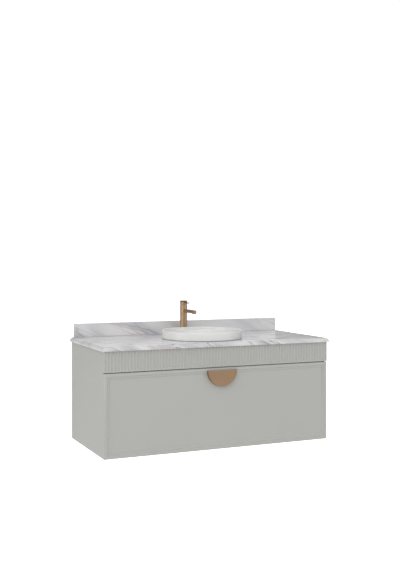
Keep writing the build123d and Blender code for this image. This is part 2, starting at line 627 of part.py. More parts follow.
# ------------------------------------------------------------------ drawer runners
def channel(u0, u1, half, web_at_start):
    """Right-hand C-channel section between two depths from the cabinet side."""
    web = (u0, u0 + SHEET) if web_at_start else (u1 - SHEET, u1)
    return [(web[0], web[1], -half, half), (u0, u1, half - SHEET, half), (u0, u1, -half, SHEET - half)]


def runner(parts, front, back):
    """Both members of one kind, each folded from sheet."""
    made = None
    for u0, u1, low, high in parts:
        piece = block(INNER_X - u0, INNER_X - u1, front, back, RUNNER_Z + low, RUNNER_Z + high)
        made = piece if made is None else made + piece
    return made


RUNNER_FRONT_Y = CARCASS_Y + 2
RUNNER_BACK_Y = RUNNER_FRONT_Y + DRAWER_LENGTH
HALF_RUNNER = RUNNER_HEIGHT / 2
CAGE_LENGTH = 200.0


def runner_cabinet_members():
    member = runner(channel(0, 9.5, HALF_RUNNER, True), RUNNER_FRONT_Y, RUNNER_BACK_Y)
    member -= screw_holes()
    return group([member, mirrored(member)])


def runner_middle_members():
    member = runner(channel(4.6, 11.0, HALF_RUNNER - 3.2, True), RUNNER_FRONT_Y, RUNNER_BACK_Y)
    return group([member, mirrored(member)])


def ball_cages():
    """Strips that hold the balls: outside the middle members at the back, inside in front."""
    outer_half = HALF_RUNNER - 3.2
    inner_half = outer_half - SHEET
    back = (RUNNER_BACK_Y - CAGE_LENGTH - 10, RUNNER_BACK_Y - 10)
    front = (RUNNER_FRONT_Y + 10, RUNNER_FRONT_Y + 10 + CAGE_LENGTH)
    strips = []
    for side in SIDES:
        for up in SIDES:
            strips.append(block(side * (INNER_X - 5), side * (INNER_X - 9), *back,
                                RUNNER_Z + up * outer_half, RUNNER_Z + up * (outer_half + 1.2)))
            strips.append(block(side * (INNER_X - 8), side * (INNER_X - 11), *front,
                                RUNNER_Z + up * inner_half, RUNNER_Z + up * (inner_half - 1.2)))
    return group(strips)


def runner_drawer_members():
    member = runner(channel(7.4, RUNNER_THICK, HALF_RUNNER - 6.8, False), BOX_FRONT_Y, BOX_BACK_Y)
    member -= drawer_screw_holes()
    return group([member, mirrored(member)])


# ------------------------------------------------------------------ drawer
FRAME_RIM, FRAME_LEDGE = 15.0, 24.0           # flat rim, and where the inner panel starts
LEDGE_DEPTH, PANEL_DEPTH = 3.5, 7.0
PANEL_Y = FACE_Y + PANEL_DEPTH

HANDLE_RADIUS, HANDLE_THICK, HANDLE_DEPTH = 78.0, 3.0, 20.0
HANDLE_Z = DRAWER_TOP_Z - 12.0                # straight upper edge of the half disc
BOSS_X, BOSS_DROP, BOSS_RADIUS = 32.0, 55.0, 5.0
FLOOR_GROOVE = 5.0
RUNNER_SCREW_IN_BOX_Y = (-500, -310, -120)
FRONT_SCREW_X = (-480, -160, 160, 480)


def drawer_screw_places():
    """Wood screws that move with the drawer: runner screws, front screws, box screws."""
    places = []
    for side in SIDES:
        for y in RUNNER_SCREW_IN_BOX_Y:
            places.append(((side * (BOX_X + SHEET), y, RUNNER_Z), (-side, 0, 0), 12.0))
        for z in (BOX_BASE_Z + 40, BOX_TOP_Z - 40):
            places.append(((side * BOX_X, BOX_BACK_Y - DRAWER_WALL / 2, z), (-side, 0, 0), 40.0))
    for x in FRONT_SCREW_X:
        for z in (BOX_BASE_Z + 50, BOX_TOP_Z - 50):
            places.append(((x, BOX_FRONT_Y + DRAWER_WALL, z), (0, -1, 0), 25.0))
    return places


def drawer_screws():
    return group([screw(at, along, length) for at, along, length in drawer_screw_places()])


def drawer_screw_holes():
    return [rod(at, along, length + FIT, 2 + FIT) for at, along, length in drawer_screw_places()]


def frame_pocket(inset, depth_from, depth_to, draft):
    """Rectangular recess in the drawer front, with sloping sides."""
    middle_z = (DRAWER_TOP_Z + BASE_Z) / 2
    wide, high = WIDTH - 2 * inset, DRAWER_TOP_Z - BASE_Z - 2 * inset
    outer = Plane.XZ.offset(-FACE_Y - depth_from) * Pos(0, middle_z) * Rectangle(wide, high)
    inner = (Plane.XZ.offset(-FACE_Y - depth_to) * Pos(0, middle_z)
             * Rectangle(wide - 2 * draft, high - 2 * draft))
    return loft([outer, inner])


def moulded_slab():
    """Slim moulded frame around a recessed flat panel, before any drilling."""
    slab = block(-SIDE_X, SIDE_X, FACE_Y, BOX_FRONT_Y, BASE_Z, DRAWER_TOP_Z)
    slab = chamfer(slab.faces().sort_by(Axis.Y)[0].edges(), 4.0)
    slab -= frame_pocket(FRAME_RIM - 0.3, -0.5, LEDGE_DEPTH, 2.5)
    return slab - frame_pocket(FRAME_LEDGE, LEDGE_DEPTH - 0.1, PANEL_DEPTH, 4.0)


def drawer_front():
    """The moulded slab, drilled from behind for its screws and the handle's."""
    slab = moulded_slab() - drawer_screw_holes()
    return slab - [rod((side * BOSS_X, BOX_FRONT_Y + 1, HANDLE_Z - BOSS_DROP), (0, -1, 0), 20, 2.2)
                   for side in SIDES]


def half_disc(radius, front, back, top):
    """Half disc with its straight edge up."""
    full = rod((0, front, HANDLE_Z), (0, 1, 0), back - front, radius)
    return full & block(-radius - 1, radius + 1, front - 1, back + 1, HANDLE_Z - radius - 1, top)


def half_moon_handle():
    """Half-moon pull: front plate and a curved wall coped over the frame, open at the top."""
    front = PANEL_Y - HANDLE_DEPTH
    shell = half_disc(HANDLE_RADIUS, front, PANEL_Y, HANDLE_Z)
    outer_edge = shell.faces().sort_by(Axis.Y)[0].edges()
    shell = fillet(outer_edge, 1.2)
    shell -= half_disc(HANDLE_RADIUS - HANDLE_THICK, front + HANDLE_THICK, PANEL_Y + 1, HANDLE_Z + 1)
    for side in SIDES:
        at = (side * BOSS_X, PANEL_Y, HANDLE_Z - BOSS_DROP)
        shell += rod(at, (0, -1, 0), HANDLE_DEPTH - HANDLE_THICK / 2, BOSS_RADIUS)
        shell -= rod((at[0], PANEL_Y + 1, at[2]), (0, -1, 0), 13, 2 + FIT)
    return shell - moulded_slab()


def handle_screws():
    return group([screw((side * BOSS_X, BOX_FRONT_Y, HANDLE_Z - BOSS_DROP), (0, -1, 0), 24.0)
                  for side in SIDES])


def drawer_bottom():
    """Floor let into grooves in the boards around it, with a notch for the trap."""
    groove = FLOOR_GROOVE
    reach = BOX_X - DRAWER_WALL + groove
    front = BOX_FRONT_Y + DRAWER_WALL - groove
    back = BOX_BACK_Y - DRAWER_WALL + groove
    notch = NOTCH_HALF + DRAWER_WALL - groove
    floor = block(-reach, reach, front, back, FLOOR_Z, FLOOR_Z + DRAWER_FLOOR)
    notch_y = -NOTCH_FRONT - DRAWER_WALL + groove
    return floor - block(-notch, notch, notch_y, back + 1, FLOOR_Z - 1, FLOOR_Z + DRAWER_FLOOR + 1)


def box_board(x0, x1, y0, y1):
    """Board of the drawer box, grooved for the floor and drilled for its screws."""
    board = block(x0, x1, y0, y1, BOX_BASE_Z, BOX_TOP_Z)
    return board - drawer_bottom() - drawer_screw_holes()


def drawer_side(side):
    return box_board(side * (BOX_X - DRAWER_WALL), side * BOX_X, BOX_FRONT_Y, BOX_BACK_Y)


def drawer_inner_front():
    reach = BOX_X - DRAWER_WALL
    return box_board(-reach, reach, BOX_FRONT_Y, BOX_FRONT_Y + DRAWER_WALL)


def drawer_back_boards():
    reach = BOX_X - DRAWER_WALL
    return group([box_board(side * (NOTCH_HALF + DRAWER_WALL), side * reach,
                            BOX_BACK_Y - DRAWER_WALL, BOX_BACK_Y) for side in SIDES])


def notch_boards():
    """Three boards that box in the trap."""
    cross = box_board(-NOTCH_HALF, NOTCH_HALF, -NOTCH_FRONT - DRAWER_WALL, -NOTCH_FRONT)
    walls = [box_board(side * NOTCH_HALF, side * (NOTCH_HALF + DRAWER_WALL),
                       -NOTCH_FRONT - DRAWER_WALL, BOX_BACK_Y) for side in SIDES]
    return group([cross] + walls)


# ------------------------------------------------------------------ all sub-parts
NODES = {
    "side_panel_left": lambda: side_panel(-1),
    "side_panel_right": lambda: side_panel(1),
    "bottom_panel": bottom_panel,
    "back_rail_upper": lambda: back_rail(0, RAIL_CAMS),
    "back_rail_lower": lambda: back_rail(LOWER_RAIL_Z, LOWER_CAMS),
    "front_rail": front_rail,
    "fluted_fascia": fluted_fascia,
    "cam_locks": cam_locks,
    "cam_bolts": cam_bolts,
    "corner_braces": corner_braces,
    "cabinet_screws": cabinet_screws,
    "drawer_bumpers": drawer_bumpers,
    "countertop": countertop,
    "backsplash": backsplash,
    "basin": basin,
    "basin_seal": basin_seal,
    "waste_body": waste_body,
    "click_cartridge": click_cartridge,
    "waste_gasket": waste_gasket,
    "waste_nut": waste_nut,
    "waste_plug": waste_plug,
    "plug_seal": plug_seal,
    "trap_inlet_tube": trap_inlet_tube,
    "trap_nuts": trap_nuts,
    "trap_bottle": trap_bottle,
    "trap_cup": trap_cup,
    "outlet_pipe": outlet_pipe,
    "wall_rosette": wall_rosette,
    "tap_base_gasket": tap_base_gasket,
    "tap_base_ring": tap_base_ring,
    "tap_body": tap_body,
    "tap_spout": tap_spout,
    "tap_aerator": tap_aerator,
    "tap_cartridge": tap_cartridge,
    "cartridge_nut": cartridge_nut,
    "tap_carrier": tap_carrier,
    "stem_pin": stem_pin,
    "cartridge_stem": cartridge_stem,
    "tap_cap": tap_cap,
    "lever_pin": lever_pin,
    "grub_screw": grub_screw,
    "tap_shank": tap_shank,
    "shank_washer": shank_washer,
    "shank_nut": shank_nut,
    "runner_cabinet_members": runner_cabinet_members,
    "runner_middle_members": runner_middle_members,
    "ball_cages": ball_cages,
    "runner_drawer_members": runner_drawer_members,
    "drawer_front": drawer_front,
    "half_moon_handle": half_moon_handle,
    "handle_screws": handle_screws,
    "drawer_inner_front": drawer_inner_front,
    "drawer_side_left": lambda: drawer_side(-1),
    "drawer_side_right": lambda: drawer_side(1),
    "drawer_back_boards": drawer_back_boards,
    "notch_boards": notch_boards,
    "drawer_bottom": drawer_bottom,
    "drawer_screws": drawer_screws,
}

os.makedirs("parts", exist_ok=True)
for name, make in NODES.items():
    shape = make()
    export_step(shape, f"parts/{name}.step")
    print(f"{name}: {len(shape.solids())} solids, {shape.volume / 1000:.1f} cm3")
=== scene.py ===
import math

import bmesh
import bpy
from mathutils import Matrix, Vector
from mathutils.geometry import tessellate_polygon


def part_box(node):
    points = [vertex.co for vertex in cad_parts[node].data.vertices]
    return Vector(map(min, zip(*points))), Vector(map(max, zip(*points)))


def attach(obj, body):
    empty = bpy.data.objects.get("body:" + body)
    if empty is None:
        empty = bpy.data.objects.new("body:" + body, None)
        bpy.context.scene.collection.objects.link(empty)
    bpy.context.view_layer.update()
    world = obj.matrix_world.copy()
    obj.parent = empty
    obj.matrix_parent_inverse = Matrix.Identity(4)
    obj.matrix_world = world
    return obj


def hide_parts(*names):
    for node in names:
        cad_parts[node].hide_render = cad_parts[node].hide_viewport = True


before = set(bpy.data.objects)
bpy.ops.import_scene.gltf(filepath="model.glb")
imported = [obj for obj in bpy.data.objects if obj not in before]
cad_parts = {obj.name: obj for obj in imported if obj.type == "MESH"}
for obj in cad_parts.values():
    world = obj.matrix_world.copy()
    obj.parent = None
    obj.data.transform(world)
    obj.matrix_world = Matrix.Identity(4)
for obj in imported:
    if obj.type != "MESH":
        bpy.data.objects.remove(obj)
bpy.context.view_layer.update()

# ------------------------------------------------------------------ side panels
# Two 18 mm boards that carry everything else, hung from the wall by their back rails.
# They are sanded MDF, sprayed on all sides with a satin grey-green lacquer.


def add_node(tree, kind, inputs=None, **settings):
    """A shader node with its settings made and its inputs set or linked."""
    made = tree.nodes.new(kind)
    for label, value in settings.items():
        setattr(made, label, value)
    for label, value in (inputs or {}).items():
        if isinstance(value, bpy.types.NodeSocket):
            tree.links.new(value, made.inputs[label])
        else:
            made.inputs[label].default_value = value
    return made


def shader_group(name, inputs, outputs):
    """A node group with named sockets: the group, its inputs' sockets and its output node."""
    group = bpy.data.node_groups.new(name, "ShaderNodeTree")
    for label, value in inputs.items():
        kind = "Vector" if value is None else "Color" if isinstance(value, tuple) else "Float"
        socket = group.interface.new_socket(label, in_out="INPUT", socket_type="NodeSocket" + kind)
        if value is not None:
            socket.default_value = value
    for label, kind in outputs.items():
        group.interface.new_socket(label, in_out="OUTPUT", socket_type="NodeSocket" + kind)
    return group, group.nodes.new("NodeGroupInput").outputs, group.nodes.new("NodeGroupOutput")


def use(tree, group, **inputs):
    """A node group placed in a material, with its inputs set or linked: its outputs."""
    labels = {label.replace("_", " "): value for label, value in inputs.items()}
    return add_node(tree, "ShaderNodeGroup", labels, node_tree=group).outputs


def shade(red, green, blue):
    """A display colour, 0 to 255, as the linear colour that shaders take."""
    parts = [part / 255 for part in (red, green, blue)]
    return tuple(p / 12.92 if p <= 0.04045 else ((p + 0.055) / 1.055) ** 2.4 for p in parts) + (1.0,)


def new_finish(name, **constants):
    """A material with one Principled shader, whose constants are set on its own sockets."""
    material = bpy.data.materials.new(name)
    material.use_nodes = True
    tree = material.node_tree
    shader = tree.nodes["Principled BSDF"]
    for label, value in constants.items():
        shader.inputs[label.replace("_", " ")].default_value = value
    place = add_node(tree, "ShaderNodeTexCoord").outputs["Object"]
    return material, tree, shader, place


def bumped(tree, shader, height, distance):
    """Gives the shader a normal from a height, in metres at full strength."""
    bump = add_node(tree, "ShaderNodeBump", {"Height": height, "Distance": distance, "Strength": 1.0})
    tree.links.new(bump.outputs["Normal"], shader.inputs["Normal"])


def mix_colour(tree, factor, first, second, blend="MIX"):
    """The colour output of a mix between two colours."""
    mixed = add_node(tree, "ShaderNodeMix", {0: factor, 6: first, 7: second},
                     data_type="RGBA", blend_type=blend)
    return mixed.outputs[2]


MOTTLE, given, result = shader_group(
    "mottled_colour", {"Vector": None, "Colour": (1, 1, 1, 1), "Scale": 4.0, "Spread": 0.02},
    {"Colour": "Color"})
cloud = add_node(MOTTLE, "ShaderNodeTexNoise",
                 {"Vector": given["Vector"], "Scale": given["Scale"], "Detail": 4.0})
low = add_node(MOTTLE, "ShaderNodeMath", {0: 1.0, 1: given["Spread"]}, operation="SUBTRACT")
high = add_node(MOTTLE, "ShaderNodeMath", {0: 1.0, 1: given["Spread"]}, operation="ADD")
level = add_node(MOTTLE, "ShaderNodeMapRange",
                 {"Value": cloud.outputs["Fac"], "From Min": 0.3, "From Max": 0.7,
                  "To Min": low.outputs[0], "To Max": high.outputs[0]})
scaled = add_node(MOTTLE, "ShaderNodeVectorMath",
                  {0: given["Colour"], "Scale": level.outputs[0]}, operation="SCALE")
MOTTLE.links.new(scaled.outputs[0], result.inputs["Colour"])

GLOSS, given, result = shader_group(
    "uneven_gloss", {"Vector": None, "Scale": 30.0, "Roughness": 0.4, "Spread": 0.05},
    {"Roughness": "Float"})
cloud = add_node(GLOSS, "ShaderNodeTexNoise",
                 {"Vector": given["Vector"], "Scale": given["Scale"], "Detail": 5.0})
centred = add_node(GLOSS, "ShaderNodeMath", {0: cloud.outputs["Fac"], 1: 0.5}, operation="SUBTRACT")
doubled = add_node(GLOSS, "ShaderNodeMath", {0: centred.outputs[0], 1: 4.0}, operation="MULTIPLY")
summed = add_node(GLOSS, "ShaderNodeMath",
                  {0: doubled.outputs[0], 1: given["Spread"], 2: given["Roughness"]},
                  operation="MULTIPLY_ADD", use_clamp=True)
GLOSS.links.new(summed.outputs[0], result.inputs["Roughness"])

RUBBED, given, result = shader_group(
    "rubbed_edges", {"Vector": None, "Colour": (1, 1, 1, 1), "Rubbed Colour": (1, 1, 1, 1),
                     "Amount": 0.3}, {"Colour": "Color", "Mask": "Float"})
rounded = add_node(RUBBED, "ShaderNodeBevel", {"Radius": 0.0012}, samples=6).outputs["Normal"]
facing = add_node(RUBBED, "ShaderNodeNewGeometry").outputs["Normal"]
alike = add_node(RUBBED, "ShaderNodeVectorMath", {0: rounded, 1: facing}, operation="DOT_PRODUCT")
raised = add_node(RUBBED, "ShaderNodeMapRange",
                  {"Value": alike.outputs["Value"], "From Min": 0.99, "From Max": 0.85})
patchy = add_node(RUBBED, "ShaderNodeTexNoise",
                  {"Vector": given["Vector"], "Scale": 55.0, "Detail": 4.0})
broken = add_node(RUBBED, "ShaderNodeMapRange",
                  {"Value": patchy.outputs["Fac"], "From Min": 0.38, "From Max": 0.62})
worn = add_node(RUBBED, "ShaderNodeMath", {0: raised.outputs[0], 1: broken.outputs[0]},
                operation="MULTIPLY")
amount = add_node(RUBBED, "ShaderNodeMath", {0: worn.outputs[0], 1: given["Amount"]},
                  operation="MULTIPLY", use_clamp=True)
mixed = mix_colour(RUBBED, amount.outputs[0], given["Colour"], given["Rubbed Colour"])
RUBBED.links.new(mixed, result.inputs["Colour"])
RUBBED.links.new(amount.outputs[0], result.inputs["Mask"])


def satin_lacquer():
    """Sprayed lacquer: a faint orange peel, soft clouding, and edges rubbed a little lighter."""
    material, tree, shader, place = new_finish("satin_lacquer", Coat_Weight=0.12, Coat_Roughness=0.3)
    colour = use(tree, MOTTLE, Vector=place, Colour=shade(180, 181, 176), Scale=2.5, Spread=0.012)
    edges = use(tree, RUBBED, Vector=place, Colour=colour["Colour"],
                Rubbed_Colour=shade(206, 206, 200), Amount=0.15)
    gloss = use(tree, GLOSS, Vector=place, Scale=45.0, Roughness=0.42, Spread=0.04)
    tree.links.new(edges["Colour"], shader.inputs["Base Color"])
    tree.links.new(gloss["Roughness"], shader.inputs["Roughness"])
    peel = add_node(tree, "ShaderNodeTexNoise", {"Vector": place, "Scale": 700.0, "Detail": 1.0})
    bumped(tree, shader, peel.outputs["Fac"], 0.00004)
    return material


def solid_mesh(name, corners, faces, sharp=35):
    """A clean closed mesh from corner points and faces, smooth except at its real edges."""
    mesh = bpy.data.meshes.new(name)
    mesh.from_pydata([tuple(corner) for corner in corners], [], faces)
    work = bmesh.new()
    work.from_mesh(mesh)
    bmesh.ops.remove_doubles(work, verts=work.verts, dist=1e-6)
    bmesh.ops.recalc_face_normals(work, faces=work.faces)
    work.to_mesh(mesh)
    work.free()
    mesh.shade_smooth()
    mesh.set_sharp_from_angle(angle=math.radians(sharp))
    return mesh


def fitted(mesh, material, body, slot, *nodes):
    """A piece in its place: it rides on a body and may stand for CAD nodes."""
    piece = bpy.data.objects.new(mesh.name, mesh)
    bpy.context.scene.collection.objects.link(piece)
    mesh.materials.append(material)
    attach(piece, body)
    if nodes:
        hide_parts(*nodes)
    return piece


def board_mesh(name, low, high, ease):
    """A flat board with its edges eased to a small radius."""
    corners = [(x, y, z) for x in (low[0], high[0]) for y in (low[1], high[1])
               for z in (low[2], high[2])]
    faces = [(0, 1, 3, 2), (4, 6, 7, 5), (0, 4, 5, 1), (2, 3, 7, 6), (0, 2, 6, 4), (1, 5, 7, 3)]
    mesh = solid_mesh(name, corners, faces)
    work = bmesh.new()
    work.from_mesh(mesh)
    bmesh.ops.bevel(work, geom=work.edges, offset=ease, segments=3, profile=0.5, affect="EDGES")
    work.to_mesh(mesh)
    work.free()
    mesh.shade_smooth()
    mesh.set_sharp_from_angle(angle=math.radians(50))
    return mesh


def keep_faces_flat(piece):
    """Lets the large faces of a piece set its normals, so that only its eased edges shade round."""
    piece.modifiers.new("flat_faces", "WEIGHTED_NORMAL").keep_sharp = True
    return piece


LACQUER = satin_lacquer()
for side in ("left", "right"):
    panel = board_mesh(f"side_board_{side}", *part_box(f"side_panel_{side}"), 0.0012)
    keep_faces_flat(fitted(panel, LACQUER, "cabinet", "painted_board", f"side_panel_{side}"))

# ------------------------------------------------------------------ hidden carcass boards
# Bottom, back rails and front rail are 18 mm particle board between the side panels.
# They are faced with a warm pale grey melamine foil that has a fine pearl texture.

GRAINED, given, result = shader_group(
    "pressed_grain", {"Vector": None, "Scale": 600.0}, {"Height": "Float"})
cells = add_node(GRAINED, "ShaderNodeTexVoronoi",
                 {"Vector": given["Vector"], "Scale": given["Scale"]})
waves = add_node(GRAINED, "ShaderNodeTexNoise",
                 {"Vector": given["Vector"], "Scale": given["Scale"], "Detail": 2.0})
both = add_node(GRAINED, "ShaderNodeMath",
                {0: cells.outputs["Distance"], 1: waves.outputs["Fac"]}, operation="ADD")
GRAINED.links.new(both.outputs[0], result.inputs["Height"])


def pressed_foil(name, colour, roughness, grain):
    """Board faced with a printed foil, pressed to a fine grain, and scuffed at its edges."""
    material, tree, shader, place = new_finish(name)
    tinted = use(tree, MOTTLE, Vector=place, Colour=colour, Scale=6.0, Spread=0.02)
    specks = use(tree, MOTTLE, Vector=place, Colour=tinted["Colour"], Scale=900.0, Spread=0.03)
    edges = use(tree, RUBBED, Vector=place, Colour=specks["Colour"],
                Rubbed_Colour=shade(172, 148, 116), Amount=0.5)
    gloss = use(tree, GLOSS, Vector=place, Scale=60.0, Roughness=roughness, Spread=0.05)
    tree.links.new(edges["Colour"], shader.inputs["Base Color"])
    tree.links.new(gloss["Roughness"], shader.inputs["Roughness"])
    bumped(tree, shader, use(tree, GRAINED, Vector=place, Scale=grain)["Height"], 0.00005)
    return material


def finish_nodes(material, *names):
    """Puts a finish on CAD nodes that show as they are, shaded round within each face."""
    for name in names:
        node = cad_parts[name]
        node.data.materials.clear()
        node.data.materials.append(material)
        node.data.polygons.foreach_set("use_smooth", [True] * len(node.data.polygons))


CARCASS_FOIL = pressed_foil("white_foil", shade(214, 213, 208), 0.5, 700.0)
finish_nodes(CARCASS_FOIL, "bottom_panel", "back_rail_upper", "back_rail_lower", "front_rail")

# ------------------------------------------------------------------ cabinet fasteners
# Cam locks and bolts pull the boards together, braces square the corners, and
# countersunk wood screws hold the rest. All are zinc plated steel.


def zinc_plate():
    """Zinc plating: a bluish grey metal with faint crystals and dull handling marks."""
    material, tree, shader, place = new_finish("zinc_plate", Metallic=1.0)
    crystals = add_node(tree, "ShaderNodeTexVoronoi", {"Vector": place, "Scale": 220.0})
    tone = add_node(tree, "ShaderNodeValToRGB", {"Fac": crystals.outputs["Distance"]})
    tone.color_ramp.elements[0].color = shade(168, 172, 178)
    tone.color_ramp.elements[1].color = shade(198, 201, 204)
    marked = use(tree, MOTTLE, Vector=place, Colour=tone.outputs["Color"], Scale=35.0, Spread=0.06)
    edges = use(tree, RUBBED, Vector=place, Colour=marked["Colour"],
                Rubbed_Colour=shade(222, 222, 220), Amount=0.6)
    gloss = use(tree, GLOSS, Vector=place, Scale=90.0, Roughness=0.36, Spread=0.08)
    tree.links.new(edges["Colour"], shader.inputs["Base Color"])
    tree.links.new(gloss["Roughness"], shader.inputs["Roughness"])
    bumped(tree, shader, crystals.outputs["Distance"], 0.00002)
    return material


ZINC = zinc_plate()
finish_nodes(ZINC, "cam_locks", "cam_bolts", "corner_braces", "cabinet_screws")

# ------------------------------------------------------------------ fluted fascia
# A fixed MDF board over the drawer, routed with 75 round-nosed flutes that stop just
# above its lower edge, then sprayed like the side panels.

FLUTE_PITCH, FLUTE_RADIUS, FLUTE_DEPTH, FLUTE_STOP = 0.016, 0.006, 0.0035, 0.005


def fascia_mesh():
    """The routed face as rows of points that follow each flute and its round nose."""
    low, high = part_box("fluted_fascia")
    face, back, ease = low.y, high.y, 0.001
    chord = math.sqrt(FLUTE_RADIUS ** 2 - (FLUTE_RADIUS - FLUTE_DEPTH) ** 2)
    nose_z = low.z + FLUTE_STOP + FLUTE_RADIUS
    turns = [math.radians(angle) for angle in (90, 60, 30, 0)]
    columns = [(low.x + ease - ease * math.sin(a), ease - ease * math.cos(a), None) for a in turns]
    for index in range(round((high.x - low.x) / FLUTE_PITCH)):
        middle = low.x + (index + 0.5) * FLUTE_PITCH
        for step in range(-6, 7):
            columns.append((middle + chord * math.sin(step * math.pi / 12), 0, middle))
    columns += [(high.x - ease + ease * math.sin(a), ease - ease * math.cos(a), None)
                for a in reversed(turns)]
    rows = [("edge", a) for a in turns] + [("nose", part / 5) for part in range(5, -1, -1)]
    rows.append(("top", 0))

    def point(column, row):
        x, eased, middle = column
        kind, value = row
        across = 0 if middle is None else max(0.0, chord ** 2 - (x - middle) ** 2)
        depth, z = 0.0, high.z
        if kind == "edge":
            eased += ease - ease * math.cos(value)
            z = low.z + ease - ease * math.sin(value)
        if kind == "nose":
            z = nose_z - value * math.sqrt(across)
        if kind != "edge" and middle is not None:
            away = (x - middle) ** 2 + max(0.0, nose_z - z) ** 2
            depth = math.sqrt(max(0.0, FLUTE_RADIUS ** 2 - away)) - (FLUTE_RADIUS - FLUTE_DEPTH)
        return (x, face + min(eased, ease) + max(0.0, depth), z)

    corners = [point(column, row) for row in rows for column in columns]
    wide = len(columns)
    faces = [(r * wide + c, r * wide + c + 1, (r + 1) * wide + c + 1, (r + 1) * wide + c)
             for r in range(len(rows) - 1) for c in range(wide - 1)]
    last = (len(rows) - 1) * wide
    border = (list(range(wide)) + [r * wide + wide - 1 for r in range(1, len(rows) - 1)]
              + list(range(last + wide - 1, last - 1, -1))
              + [r * wide for r in range(len(rows) - 2, 0, -1)])
    start = len(corners)
    corners += [(corners[at][0], back, corners[at][2]) for at in border]
    count = len(border)
    faces += [(border[i], border[(i + 1) % count], start + (i + 1) % count, start + i)
              for i in range(count)]
    faces.append(tuple(range(start, start + count)))
    return solid_mesh("fascia_fluted", corners, faces, 40)


fitted(fascia_mesh(), LACQUER, "cabinet", "painted_board", "fluted_fascia")

# ------------------------------------------------------------------ marble top
# A 22 mm slab of white marble with grey and lilac veins. Its front and sides have a small
# upright nose and a moulded slope; it is cut out for the basin and drilled for the tap.

VEINS, given, result = shader_group(
    "drifting_veins", {"Vector": None, "Scale": 2.0, "Warp": 0.3, "Width": 0.05},
    {"Mask": "Float"})
sized = add_node(VEINS, "ShaderNodeVectorMath", {0: given["Vector"], "Scale": given["Scale"]},
                 operation="SCALE")
drift = add_node(VEINS, "ShaderNodeTexNoise",
                 {"Vector": sized.outputs[0], "Scale": 0.45, "Detail": 4.0})
push = add_node(VEINS, "ShaderNodeVectorMath", {0: drift.outputs["Color"], "Scale": given["Warp"]},
                operation="SCALE")
bent = add_node(VEINS, "ShaderNodeVectorMath", {0: sized.outputs[0], 1: push.outputs[0]})
field = add_node(VEINS, "ShaderNodeTexNoise",
                 {"Vector": bent.outputs[0], "Scale": 1.0, "Detail": 2.5})
centred = add_node(VEINS, "ShaderNodeMath", {0: field.outputs["Fac"], 1: 0.5}, operation="SUBTRACT")
distance = add_node(VEINS, "ShaderNodeMath", {0: centred.outputs[0]}, operation="ABSOLUTE")
mask = add_node(VEINS, "ShaderNodeMapRange",
                {"Value": distance.outputs[0], "From Min": given["Width"], "From Max": 0.0},
                interpolation_type="SMOOTHERSTEP")
VEINS.links.new(mask.outputs[0], result.inputs["Mask"])


def marble():
    """Polished marble: pale ground, soft blue-grey clouds, lilac streaks and a few thin veins."""
    material, tree, shader, place = new_finish("veined_marble", Coat_Weight=0.25,
                                               Coat_Roughness=0.08)
    along = add_node(tree, "ShaderNodeMapping",
                     {"Vector": place, "Rotation": (0, math.radians(24), math.radians(-16)),
                      "Scale": (7.0, 1.7, 1.0)}, vector_type="TEXTURE").outputs[0]
    ground = use(tree, MOTTLE, Vector=place, Colour=shade(219, 218, 218), Scale=7.0, Spread=0.03)
    clouds = use(tree, VEINS, Vector=along, Scale=7.0, Warp=1.1, Width=0.12)
    streaks = use(tree, VEINS, Vector=along, Scale=26.0, Warp=0.8, Width=0.06)
    threads = use(tree, VEINS, Vector=along, Scale=8.0, Warp=1.1, Width=0.01)
    broken = add_node(tree, "ShaderNodeTexNoise", {"Vector": along, "Scale": 9.0, "Detail": 3.0})
    wide = add_node(tree, "ShaderNodeMapRange",
                    {"Value": broken.outputs["Fac"], "From Min": 0.36, "From Max": 0.56})
    short = add_node(tree, "ShaderNodeMapRange",
                     {"Value": broken.outputs["Fac"], "From Min": 0.47, "From Max": 0.6})
    layers = ((clouds, wide, 0.75, shade(184, 186, 193)), (streaks, short, 0.8, shade(184, 175, 179)),
              (threads, short, 0.85, shade(138, 132, 139)))
    colour = ground["Colour"]
    for veins, present, strength, tone in layers:
        faded = add_node(tree, "ShaderNodeMath", {0: veins["Mask"], 1: present.outputs[0]},
                         operation="MULTIPLY")
        factor = add_node(tree, "ShaderNodeMath", {0: faded.outputs[0], 1: strength},
                          operation="MULTIPLY")
        colour = mix_colour(tree, factor.outputs[0], colour, tone)
    gloss = use(tree, GLOSS, Vector=place, Scale=12.0, Roughness=0.2, Spread=0.04)
    tree.links.new(colour, shader.inputs["Base Color"])
    tree.links.new(gloss["Roughness"], shader.inputs["Roughness"])
    pits = add_node(tree, "ShaderNodeTexNoise", {"Vector": place, "Scale": 160.0, "Detail": 3.0})
    bumped(tree, shader, pits.outputs["Fac"], 0.00002)
    return material


def softened(*corners, step=12):
    """An outline of (across, along, radius) corners, each rounded by an arc of its radius."""
    points = []
    for index, (across, along, radius) in enumerate(corners):
        here = Vector((across, along))
        if not radius or index in (0, len(corners) - 1):
            points.append(tuple(here))
            continue
        before = (Vector(corners[index - 1][:2]) - here).normalized()
        after = (Vector(corners[index + 1][:2]) - here).normalized()
        turn = math.pi - before.angle(after)
        centre = here + (before + after).normalized() * (radius / math.cos(turn / 2))
        spoke = here + before * (radius * math.tan(turn / 2)) - centre
        sign = 1 if before.cross(after) < 0 else -1
        count = max(2, math.ceil(math.degrees(turn) / step))
        for part in range(count + 1):
            angle = sign * turn * part / count
            points.append((centre.x + spoke.x * math.cos(angle) - spoke.y * math.sin(angle),
                           centre.y + spoke.x * math.sin(angle) + spoke.y * math.cos(angle)))
    return points


NOSE_HEIGHT, SLOPE_IN = 0.0085, 0.020
CUTOUT_RADIUS, TAP_HOLE_RADIUS = 0.191, 0.0175


